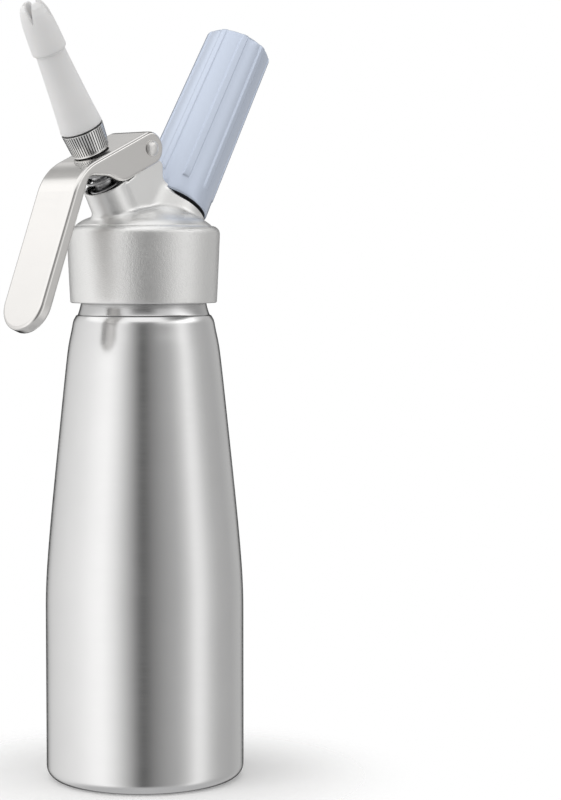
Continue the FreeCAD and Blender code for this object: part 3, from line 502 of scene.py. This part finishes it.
M_GASKET = plastic("gasket_silicone", (0.42, 0.43, 0.46), (0.52, 0.53, 0.56), 0.5, grain=(1500.0, 0.2, 6e-5), ior=1.43, sss=0.1)
M_BUSH = plastic("bush_plastic", (0.75, 0.75, 0.72), (0.82, 0.82, 0.79), 0.4)
M_TIP = plastic("tip_plastic", (0.885, 0.88, 0.88), (0.915, 0.91, 0.91), 0.45, sss=0.3, grain=(1300.0, 0.12, 5e-5))
M_HOLDER = plastic("holder_lacquer", (0.64, 0.71, 0.85), (0.67, 0.74, 0.875), 0.24, coat=0.2, grain=(500.0, 0.03, 2e-5), ior=1.38, rough_spread=0.02, blotch=12.0)
M_HOLDER.node_tree.nodes["Principled BSDF"].inputs["Metallic"].default_value = 0.38
# Near-black material, painted shade: it fills the holder's mouth face and bore, where the gap to the head falls into
# shadow.
M_MOUTH_SHADE = plastic("holder_inside_shade", (0.03, 0.032, 0.036), (0.045, 0.047, 0.052), 0.5, grain=(900.0, 0.1, 4e-5), ior=1.45)

NODE_MATS = {
    "head_gasket": M_GASKET, "pivot_pin": M_PIN, "pivot_washers": M_PIN, "valve_guide_bush": M_BUSH,
    "stem_o_ring": M_RUBBER, "insert_o_ring": M_RUBBER, "adapter_o_ring": M_RUBBER, "tip_seal_ring": M_RUBBER,
    "poppet_seal": M_RUBBER, "charger_seal": M_RUBBER, "check_valve_sleeve": M_RED, "valve_spring": M_SPRING,
    "valve_stem": M_STEM, "spring_collar": M_STEM, "poppet_nut": M_STEM, "tip_adapter": M_KNURL,
    "piercing_insert": M_BRASS, "piercing_pin": M_STEM, "charger_capsule": M_CAPSULE, "charger_cap": M_CAPSULE,
    "lever": M_LEVER, "decorator_tip": M_TIP, "charger_holder": M_HOLDER, "bottle": M_BOTTLE, "head_casting": M_CAST,
}
for node, mat in NODE_MATS.items():
    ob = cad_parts[node]
    ob.data.materials.clear()
    ob.data.materials.append(mat)

# ---------------------------------------------------------------- bottle
outer = hermite([(38.99, 66.0), (38.72, 77.7), (37.92, 89.6), (35.3, 117.4), (32.0, 149.0), (30.25, 165.0), (29.15, 172.6), (28.0, 178.2), (26.7, 182.0)], 0.0, -0.75, 1.6)
inner = hermite([(37.4, 66.0), (37.1, 77.5), (36.3, 89.4), (33.68, 117.2), (30.38, 148.8), (28.63, 164.8), (27.53, 172.4), (24.6, 177.6), (22.0, 183.6)], 0.0, -0.05, 2.2)
wall = [(38.99, z) for z in np.linspace(7.0, 62.0, 15)]
prof = [(0, 1.2), (20.0, 1.2), (30.4, 1.2), (30.9, 1.15), (32.1, 0.1), (32.6, 0.0), (33.8, 0.0)]
prof += arc(33.99, 5.0, 5.0, -88, 0, 14) + wall + outer[:-1]
prof += [(26.62, 182.12), (26.5, 182.3), (26.35, 182.42), (26.15, 182.45), (25.98, 182.5), (25.86, 182.62), (25.7, 183.0), (25.3, 184.2), (24.95, 185.4), (24.7, 186.4), (24.55, 187.4), (24.5, 190.0), (24.5, 205.6)]
prof += [(24.4, 206.1), (24.1, 206.42), (23.8, 206.5), (22.4, 206.5), (22.1, 206.35), (22.0, 206.0), (22.0, 195.0)]
prof += inner[::-1] + [(37.4, 40.0), (37.4, 7.0)] + arc(33.8, 6.6, 3.6, 0, -90, 8) + [(20.0, 3.0), (0, 3.0)]
bottle = lathe("bottle_shell", prof, body="bottle", seg=224, sharp=40, mat=M_BOTTLE, closed=False)
bottle.data.materials.append(M_NECK)
bottle.data.materials.append(M_INSIDE)
for p in bottle.data.polygons:
    c = p.center
    r, z = math.hypot(c.x, c.y) / MM, c.z / MM
    if z > 182.2 and r > 22.3:
        p.material_index = 1
    elif z > 3 and ((z < 66 and r < 38.2) or (z >= 66 and z < 182 and r < np.interp(z, [66, 89.6, 117.4, 149, 165, 182], [38.2, 37.1, 34.5, 31.4, 29.7, 25.5])) or (z >= 182 and r < 22.3)):
        p.material_index = 2
neck_thread = ridge("bottle_neck_thread", ONE, 24.5, 25.7, 190.4, 4.0, 3.0, 0.85, 0.35, "bottle", M_NECK, seg=96)
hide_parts("bottle")

# ---------------------------------------------------------------- head
skirt = [(26.15, 188.0), (26.75, 187.3), (28.0, 187.3)] + arc(28.05, 187.95, 0.65, -88, -5, 5)
for k in range(1, 13):
    s = k / 12
    skirt.append((28.72 + (29.9 - 28.72) * (s ** 0.9), 188.2 + (213.9 - 188.2) * s))
skirt += arc(26.75, 214.15, 3.15, 4, 88, 14) + [(26.62, 217.28), (26.5, 217.1), (26.3, 216.7), (24.5, 216.4), (0, 216.4), (0, 212.0), (21.0, 212.0), (21.5, 211.5), (21.5, 209.25), (25.6, 209.25), (25.6, 205.0), (26.15, 204.6)]
head_skirt = lathe("head_skirt", skirt, body="head", seg=224, sharp=30, mat=M_CAST)
head_thread = ridge("head_inner_thread", ONE, 26.15, 24.95, 188.9, 4.0, 3.0, 0.85, 0.35, "head", M_CAST, seg=96)
seat_boss = lathe("head_seat_boss", [(5.2, 14.3), (5.5, 14.0), (8.1, 14.0), (8.5, 14.4), (8.5, 23.0), (5.2, 20.6)], NOZ, "head", 96, mat=M_CAST)
nipple = lathe("head_gas_nipple", [(0.8, 203.9), (1.0, 203.6), (1.9, 203.6), (2.2, 203.9), (2.2, 213.0), (0.8, 213.0)], Matrix.Translation((10.8, 0, 0)), "head", 48, mat=M_CAST)

PX, PZ = -5.9, 247.0
BLOCK = [(-19.0, 213.0), (-16.3, 225.0), (-19.6, 232.6), (-13.4, 236.4), (PX - 4.15, PZ - 1.5), (PX - 4.15, PZ)]
BLOCK += [(PX + 4.15 * math.cos(math.radians(t)), PZ + 4.15 * math.sin(math.radians(t))) for t in range(165, 0, -15)]
BLOCK += [(PX + 4.15, PZ), (PX + 4.15, PZ - 1.9), (PX + 4.45, PZ - 2.7), (1.9, PZ - 4.6), (2.7, PZ - 5.6), (2.9, PZ - 6.6), (2.9, 236.9), (3.15, 236.0), (3.7, 235.2), (4.6, 234.4), (15.0, 228.0), (20.0, 213.0)]


def head_field(X, Y, Z):
    r = np.sqrt(X * X + Y * Y)
    crown = 224.4 - 0.0085 * r * r - np.maximum(r - 22.5, 0) ** 2 * 0.055
    dome = (Z - crown) * 0.93
    dome = smax(dome, r - 26.75, 0.5)
    px = poly_dist(X, Z, BLOCK)
    # rounded edges of the flat-sided body
    e = 1.0
    qx, qy = px + e, np.abs(Y) - 8.5 + e
    block = np.minimum(np.maximum(qx, qy), 0) + np.sqrt(np.maximum(qx, 0) ** 2 + np.maximum(qy, 0) ** 2) - e
    nx, ny, ns = local(X, Y, Z, NOZZLE_AXIS)
    nr = np.sqrt(nx * nx + ny * ny)
    e = 0.45
    qr, qs = nr - 8.8 + e, ns - 41.5 + e
    port = np.minimum(np.maximum(qr, qs), 0) + np.sqrt(np.maximum(qr, 0) ** 2 + np.maximum(qs, 0) ** 2) - e
    port = port - 0.022 * np.clip(38.5 - ns, 0, 12)
    cx, cy, cs = local(X, Y, Z, CHARGER_AXIS)
    cr = np.sqrt(cx * cx + cy * cy)
    e = 0.5
    qr, qs = cr - 14.4 + e, cs - 32.6 + e
    boss = np.minimum(np.maximum(qr, qs), 0) + np.sqrt(np.maximum(qr, 0) ** 2 + np.maximum(qs, 0) ** 2) - e
    # room for the charger holder's mouth
    block = smax(block, -np.maximum(cr - 15.35, 33.6 - cs), 0.3)
    body = smin(block, port, 0.7)
    body = smin(body, boss, 4.5)
    all_ = smin(body, dome, 2.8)
    all_ = np.maximum(all_, -np.maximum(cr - 15.35, 33.6 - cs))
    # stay inside the crown's crease
    all_ = smax(all_, r - (26.7 + np.maximum(Z - 217.6, 0) * 1.6), 0.4)
    all_ = np.maximum(all_, 216.7 - Z)
    # the open cup round the stem
    cup = np.maximum(nr - 7.6, 28.0 - ns)
    lead = nr - (7.6 + np.maximum(ns - 41.1, 0))
    cup = np.minimum(cup, np.maximum(lead, 41.0 - ns))
    all_ = np.maximum(all_, -cup)
    # bore of the pivot
    pr = np.sqrt((X - PX) ** 2 + (Z - PZ) ** 2)
    all_ = np.maximum(all_, 2.53 - pr)
    # seat of the charger boss
    seat = np.maximum(cr - 9.0, 32.0 - cs)
    return np.maximum(all_, -seat)


H_STEP = 0.42
head_body = solid_from_field("head_body", head_field, (-31, -27.5, 215.9), (31.5, 27.5, 252.2), H_STEP, "head", M_BODY)
cup_lining = lathe("head_cup_lining", [(6.5, 27.9), (7.57, 27.9), (7.57, 41.0), (7.5, 41.0), (7.5, 28.05), (6.5, 28.05)], NOZ, "head", 96, mat=M_PORT)
boss_prof = [(4.6, 38.6), (4.6, 44.4), (5.0, 45.0), (8.9, 45.0), (9.7, 44.2), (9.7, 33.0), (9.3, 32.6), (9.3, 31.6), (3.95, 31.6), (3.95, 38.6)]
thread_boss = lathe("head_charger_boss", boss_prof, CHG, "head", 128, mat=M_PORT)
boss_thread = ridge("head_charger_thread", CHG, 9.7, 10.55, 34.7, 2.5, 3.4, 0.53, 0.22, "head", M_PORT, seg=72, fade=0.3)
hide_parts("head_casting")

# ---------------------------------------------------------------- adapter
# Fifty V grooves on a slight cone, a plain rim at each end, the shank below
# and the threaded spigot for the tip above.
GROOVES = 50
steps = [0.0, 0.16, 0.3, 0.4, 0.5, 0.6, 0.7, 0.84]
rows = [(3.24, 52.3, 0), (3.5, 52.16, 0), (4.7, 52.16, 0), (5.0, 52.4, 0), (5.0, 56.2, 0), (6.9, 56.2, 0), (7.3, 56.3, 0), (7.5, 56.65, 0), (7.5, 57.0, 0), (7.53, 57.15, 1)]
rows += [(7.53 + (8.3 - 7.53) * k / 7, 57.15 + (65.2 - 57.15) * k / 7, 1) for k in range(1, 8)]
rows += [(8.34, 65.35, 0), (8.36, 65.5, 0), (8.3, 65.6, 0), (8.0, 65.62, 0), (7.95, 65.98, 0), (5.0, 66.0, 0), (5.0, 72.4, 0), (4.85, 72.75, 0), (4.4, 73.0, 0), (2.4, 73.0, 0), (2.4, 62.3, 0), (3.24, 62.3, 0)]
verts, faces = [], []
for r, z, groove in rows:
    for k in range(GROOVES):
        for f in steps:
            t = 2 * math.pi * (k + f) / GROOVES
            d = 0.5 * max(0.0, 1 - abs(f - 0.5) / 0.2) if groove else 0.0
            verts.append(((r - d) * math.cos(t), (r - d) * math.sin(t), z))
na = GROOVES * len(steps)
for i in range(len(rows)):
    i2 = (i + 1) % len(rows)
    for j in range(na):
        k = (j + 1) % na
        faces.append((i * na + j, i * na + k, i2 * na + k, i2 * na + j))
adapter = finish_mesh("tip_adapter_body", verts, faces, NOZ, "stem", 35, M_KNURL)
adapter.data.materials.append(M_DARK_GROOVE_SHADE)
noz_inv = NOZ.inverted()
# Painted shade: the bottoms of the fifty grooves take the near-black material; the shank under the knurl and the step
# below the spigot take it as well.
for p in adapter.data.polygons:
    q = noz_inv @ (Vector(p.center) / MM)
    r = math.hypot(q.x, q.y)
    t = (math.atan2(q.y, q.x) / (2 * math.pi) * GROOVES) % 1.0
    if 57.1 < q.z < 65.25 and r > 6 and 0.34 < t < 0.66:
        p.material_index = 1
    elif q.z < 56.25 and r < 6.8 or q.z > 65.61 and r > 5.2 and q.z < 66.02:
        p.material_index = 1
adapter_thread = ridge("adapter_spigot_thread", NOZ, 5.0, 5.5, 67.7, 1.5, 2.8, 0.32, 0.13, "stem", M_KNURL, seg=64, fade=0.3)
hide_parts("tip_adapter")

# ---------------------------------------------------------------- spring
# A coil with a dead turn at each end.
S_LOW, S_TOP, S_MEAN, S_WIRE, S_TURNS = 29.15, 50.15, 5.9, 0.6, 6.5
verts, faces = [], []
n, m = int(40 * S_TURNS), 12
for i in range(n + 1):
    u = i / n
    a = 2 * math.pi * S_TURNS * u
    w = min(1.0, max(0.0, (u - 0.06) / 0.88))
    zc = S_LOW + S_WIRE + (S_TOP - S_LOW - 2 * S_WIRE) * (0.25 * u + 0.75 * (0.5 * w + 0.5 * w * w * (3 - 2 * w)))
    for j in range(m):
        b = 2 * math.pi * j / m
        r = S_MEAN + S_WIRE * math.cos(b)
        verts.append((r * math.cos(a), r * math.sin(a), zc + S_WIRE * math.sin(b)))
for i in range(n):
    for j in range(m):
        k = (j + 1) % m
        faces.append((i * m + j, i * m + k, (i + 1) * m + k, (i + 1) * m + j))
faces.append(tuple(range(m))[::-1])
faces.append(tuple(range(n * m, n * m + m)))
coil = finish_mesh("valve_spring_coil", verts, faces, NOZ, "head", 50, M_SPRING)
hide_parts("valve_spring")
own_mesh(coil)

# ---------------------------------------------------------------- holder
# Nine low ribs that end short of the mouth and run out at the top.
H_LOW, H_TOP = 33.95, 109.6
RIB_LOW = 41.0
RIBS, RIB0 = 9, 193.0


def holder_radius(theta, s):
    """Outer radius of the holder at an angle (degrees) and height."""
    base = 15.0 - (s - 34.7) * (15.0 - 13.72) / (108.2 - 34.7)
    k = ((theta - RIB0 + 180.0 / RIBS) % (360.0 / RIBS)) - 180.0 / RIBS    # angle from the nearest rib
    edge = min(1.0, max(0.0, (abs(k) - 4.7) / 1.3))
    rib = 1.0 - edge * edge * (3 - 2 * edge)
    rise = min(1.0, max(0.0, s - RIB_LOW))
    rib *= rise * rise * (3 - 2 * rise)
    floor_ = 0.42 - 0.27 * min(1.0, max(0.0, (50.0 - s) / 16.0))
    return base - 0.02 - floor_ * (1.0 - rib)


angles = []
for k in range(RIBS):
    a0 = RIB0 + 360.0 / RIBS * k
    half = 180.0 / RIBS
    offs = [-6.0, -5.67, -5.35, -5.03, -4.7, -2.4, 0, 2.4, 4.7, 5.03, 5.35, 5.67, 6.0] + list(np.linspace(6.0, 2 * half - 6.0, 14)[1:-1])
    angles += [a0 + o for o in offs]
levels = [(H_LOW, -0.75), (H_LOW + 0.03, -0.55), (H_LOW + 0.22, -0.22), (H_LOW + 0.55, -0.03), (H_LOW + 0.75, 0.0), (37.0, 0.0), (39.5, 0.0), (RIB_LOW, 0), (RIB_LOW + 0.2, 0), (RIB_LOW + 0.4, 0), (RIB_LOW + 0.6, 0), (RIB_LOW + 0.8, 0), (RIB_LOW + 1.0, 0), (46.0, 0)]
levels += [(s, 0.0) for s in np.linspace(52, 105, 8)]
levels += [(H_TOP - 1.5 + 1.5 * math.sin(math.radians(t)), -1.5 + 1.5 * math.cos(math.radians(t))) for t in range(0, 91, 10)]
verts, faces = [], []
na = len(angles)
for s, dr in levels:
    for t in angles:
        r = holder_radius(t, s) + dr
        verts.append((r * math.cos(math.radians(t)), r * math.sin(math.radians(t)), s))
for i in range(len(levels) - 1):
    for j in range(na):
        k = (j + 1) % na
        faces.append((i * na + j, i * na + k, (i + 1) * na + k, (i + 1) * na + j))
# closed top, flat rings, and the inside
top0 = (len(levels) - 1) * na
prev = list(range(top0, top0 + na))
for r in (9.0, 4.5):
    cur = []
    for t in angles:
        cur.append(len(verts))
        verts.append((r * math.cos(math.radians(t)), r * math.sin(math.radians(t)), H_TOP))
    for j in range(na):
        k = (j + 1) % na
        faces.append((prev[j], prev[k], cur[k], cur[j]))
    prev = cur
verts.append((0, 0, H_TOP))
for j in range(na):
    faces.append((prev[j], prev[(j + 1) % na], len(verts) - 1))
inside = [(14.2, H_LOW), (11.5, H_LOW), (10.98, H_LOW + 0.5), (10.98, 46.3), (9.3, 47.9), (9.3, 60.0), (9.3, 80.0), (9.3, 105.5), (7.8, 107.05), (0, 107.05)]
prev = list(range(na))
for r, s in inside[1:]:
    if r == 0:
        verts.append((0, 0, s))
        for j in range(na):
            faces.append((prev[(j + 1) % na], prev[j], len(verts) - 1))
        continue
    cur = []
    for t in angles:
        cur.append(len(verts))
        verts.append((r * math.cos(math.radians(t)), r * math.sin(math.radians(t)), s))
    for j in range(na):
        k = (j + 1) % na
        faces.append((prev[k], prev[j], cur[j], cur[k]))
    prev = cur
holder = finish_mesh("charger_holder_shell", verts, faces, CHG, "holder", 42, M_HOLDER)
holder.data.materials.append(M_MOUTH_SHADE)
# Painted shade: the mouth face and the bore of the holder take the near-black material.
chg_inv = CHG.inverted()
for p in holder.data.polygons:
    q = chg_inv @ (Vector(p.center) / MM)
    if q.z < H_LOW + 0.02 or (q.z < 107.5 and math.hypot(q.x, q.y) < 11.3):
        p.material_index = 1
holder_thread = ridge("holder_inner_thread", CHG, 10.98, 10.05, 35.95, 2.5, 3.4, 0.53, 0.22, "holder", M_PORT, seg=72, fade=0.3)
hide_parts("charger_holder")

# ---------------------------------------------------------------- camera
D, ZC, TH, TAU, F_PX, AX = 0.9, 0.2032, math.radians(45), math.radians(3.45), 2287.8, 143.6
pos = Vector((-math.sin(TH) * D, -math.cos(TH) * D, ZC))
d0 = Vector((math.sin(TH), math.cos(TH), 0))
r0 = Vector((math.cos(TH), -math.sin(TH), 0))
psi = math.atan((280.5 - AX) / F_PX * math.cos(TAU))
fwd0 = d0 * math.cos(psi) + r0 * math.sin(psi)
right = r0 * math.cos(psi) - d0 * math.sin(psi)
fwd = fwd0 * math.cos(TAU) - Vector((0, 0, 1)) * math.sin(TAU)
up = right.cross(fwd)
cam = bpy.data.objects.new("camera", bpy.data.cameras.new("camera"))
scene.collection.objects.link(cam)
cam.matrix_world = Matrix(((right.x, up.x, -fwd.x, pos.x), (right.y, up.y, -fwd.y, pos.y), (right.z, up.z, -fwd.z, pos.z), (0, 0, 0, 1)))
cam.data.sensor_width = 36.0
cam.data.sensor_fit = "AUTO"
cam.data.lens = F_PX * 36.0 / 800.0
cam.data.clip_start = 0.01
cam.data.clip_end = 60
scene.camera = cam

# ---------------------------------------------------------------- studio
# A tent of white with grey flags: its brightness depends on the direction
# round the object only, as in a light tent, and above it is an even white.
scene.view_settings.view_transform = "Standard"
scene.view_settings.look = "None"
world = bpy.data.worlds.new("studio")
scene.world = world
world.use_nodes = True
nt = world.node_tree
nt.nodes.clear()


def wnode(kind, **props):
    n = nt.nodes.new(kind)
    for k, v in props.items():
        setattr(n, k, v)
    return n


def wmath(op, *ins):
    m = wnode("ShaderNodeMath", operation=op)
    for i, v in enumerate(ins):
        if isinstance(v, (int, float)):
            m.inputs[i].default_value = v
        else:
            nt.links.new(v, m.inputs[i])
    return m.outputs[0]


tc = wnode("ShaderNodeTexCoord")
sep = wnode("ShaderNodeSeparateXYZ")
nt.links.new(tc.outputs["Generated"], sep.inputs[0])
vx, vy, vz = sep.outputs
toward = wmath("ADD", wmath("MULTIPLY", vx, -d0.x), wmath("MULTIPLY", vy, -d0.y))
side = wmath("ADD", wmath("MULTIPLY", vx, r0.x), wmath("MULTIPLY", vy, r0.y))
ang = wmath("ARCTAN2", side, toward)                      # 0 behind the camera, + to its right
fac = wmath("ADD", wmath("MULTIPLY", ang, 1 / (2 * math.pi)), 0.5)
# level against the angle round the object (0 is behind the camera, minus to
# its left) in three rings: at the object's height, a little above it and high
LOW = [(-180, 0.02), (-158, 0.02), (-151, 0.5), (-138, 0.68), (-110, 0.79), (-85, 0.88), (-62, 1.04), (-50, 1.08), (-36, 0.88), (-24, 0.58), (-14, 0.34),
       (-7, 0.14), (-2, 0.085), (4, 0.15), (10, 0.235), (24, 0.35), (40, 0.45), (52, 0.66), (62, 0.95), (70, 0.9), (82, 0.6), (95, 0.46), (118, 0.42), (140, 0.5), (151, 0.52), (158, 0.03), (180, 0.02)]
MID = [(-180, 0.86), (-169, 0.80), (-150, 0.62), (-128, 0.5), (-121, 1.10), (-100, 1.18), (-60, 1.1), (-30, 1.0), (-18, 0.25), (12, 0.18), (28, 0.7), (50, 0.95), (62, 1.3), (80, 1.7), (100, 1.5), (112, 0.8), (130, 0.6), (160, 0.8), (180, 0.86)]
HIGH = [(-180, 0.36), (-150, 0.38), (-135, 0.46), (-124, 0.5), (-119, 1.05), (-90, 1.1), (0, 1.0), (38, 1.0), (55, 0.4), (72, 0.2), (118, 0.2), (135, 0.2), (180, 0.36)]


def ring(stops):
    r = wnode("ShaderNodeValToRGB")
    r.color_ramp.interpolation = "LINEAR"
    els = r.color_ramp.elements
    while len(els) < len(stops):
        els.new(0.5)
    for e, (a, v) in zip(els, stops):
        e.position = (a + 180) / 360
        e.color = (v, v * 0.995, v * 0.985, 1)
    nt.links.new(fac, r.inputs[0])
    return r.outputs["Color"]


def step(lo, hi):
    m = wnode("ShaderNodeMapRange", interpolation_type="SMOOTHSTEP")
    m.inputs["From Min"].default_value = math.radians(lo)
    m.inputs["From Max"].default_value = math.radians(hi)
    nt.links.new(elev, m.inputs["Value"])
    return m.outputs[0]


def wmix(f, a, b):
    m = wnode("ShaderNodeMix", data_type="RGBA")
    nt.links.new(f, m.inputs["Factor"])
    for sock, v in ((m.inputs[6], a), (m.inputs[7], b)):
        if isinstance(v, tuple):
            sock.default_value = (*v, 1)
        else:
            nt.links.new(v, sock)
    return m.outputs[2]


elev = wmath("ARCSINE", vz)
tent = wmix(step(19, 33), ring(LOW), ring(MID))
tent = wmix(step(35, 43), tent, ring(HIGH))
tent = wmix(step(54, 66), tent, (1.0, 1.0, 1.0))
tent = wmix(step(-30, -55), tent, (0.5, 0.5, 0.5))
bg = wnode("ShaderNodeBackground")
nt.links.new(tent, bg.inputs["Color"])
bg.inputs["Strength"].default_value = 1.0
white = wnode("ShaderNodeBackground")
white.inputs["Color"].default_value = (1, 1, 1, 1)
white.inputs["Strength"].default_value = 1.0
lp = wnode("ShaderNodeLightPath")
mixs = wnode("ShaderNodeMixShader")
nt.links.new(lp.outputs["Is Camera Ray"], mixs.inputs[0])
nt.links.new(bg.outputs[0], mixs.inputs[1])
nt.links.new(white.outputs[0], mixs.inputs[2])
out = wnode("ShaderNodeOutputWorld")
nt.links.new(mixs.outputs[0], out.inputs["Surface"])


def area(name, where, target, size, power, color=(1, 1, 1)):
    li = bpy.data.lights.new(name, "AREA")
    li.shape = "RECTANGLE"
    li.size, li.size_y = size
    li.energy = power
    li.color = color
    ob = bpy.data.objects.new(name, li)
    scene.collection.objects.link(ob)
    ob.location = where
    ob.rotation_euler = (Vector(target) - Vector(where)).to_track_quat("-Z", "Y").to_euler()
    return ob


top = area("top_light", (-0.15, -0.35, 1.5), (0, 0, 0.15), (1.6, 1.6), 3.0)
left = area("left_light", tuple(-d0 * 0.75 - r0 * 1.25 + Vector((0, 0, 0.75))), (0, 0, 0.18), (0.9, 1.2), 3.5)
rightl = area("right_light", tuple(-d0 * 0.5 + r0 * 1.2 + Vector((0, 0, 0.55))), (0, 0, 0.18), (0.6, 1.1), 1.2)
for li in (top, left, rightl):
    li.visible_glossy = False

floor_me = bpy.data.meshes.new("floor")
floor_me.from_pydata([(-0.6, -0.6, 0), (0.6, -0.6, 0), (0.6, 0.6, 0), (-0.6, 0.6, 0)], [], [(0, 1, 2, 3)])
floor = bpy.data.objects.new("floor", floor_me)
scene.collection.objects.link(floor)
fm = Nodes("floor_paper")
fm.bsdf.inputs["Specular IOR Level"].default_value = 0.0
fm.bsdf.inputs["Roughness"].default_value = 0.9
fn = fm.noise(3.0, fm.coords(), 3.0, 0.5)
fm.link(fm.ramp(fn, [(0.3, (0.975, 0.975, 0.975)), (0.7, (0.985, 0.985, 0.985))]), fm.bsdf.inputs["Base Color"])
# the paper fades into the white of the tent
ftc = fm.add("ShaderNodeTexCoord")
fln = fm.add("ShaderNodeVectorMath", operation="LENGTH")
fm.link(ftc.outputs["Object"], fln.inputs[0])
fade = fm.add("ShaderNodeMapRange", interpolation_type="SMOOTHSTEP")
fade.inputs["From Min"].default_value = 0.04
fade.inputs["From Max"].default_value = 0.11
fade.inputs["To Min"].default_value = 1.0
fade.inputs["To Max"].default_value = 0.0
fm.link(fln.outputs["Value"], fade.inputs["Value"])
fm.link(fade.outputs["Result"], fm.bsdf.inputs["Alpha"])
floor_me.materials.append(fm.mat)
floor.visible_glossy = False
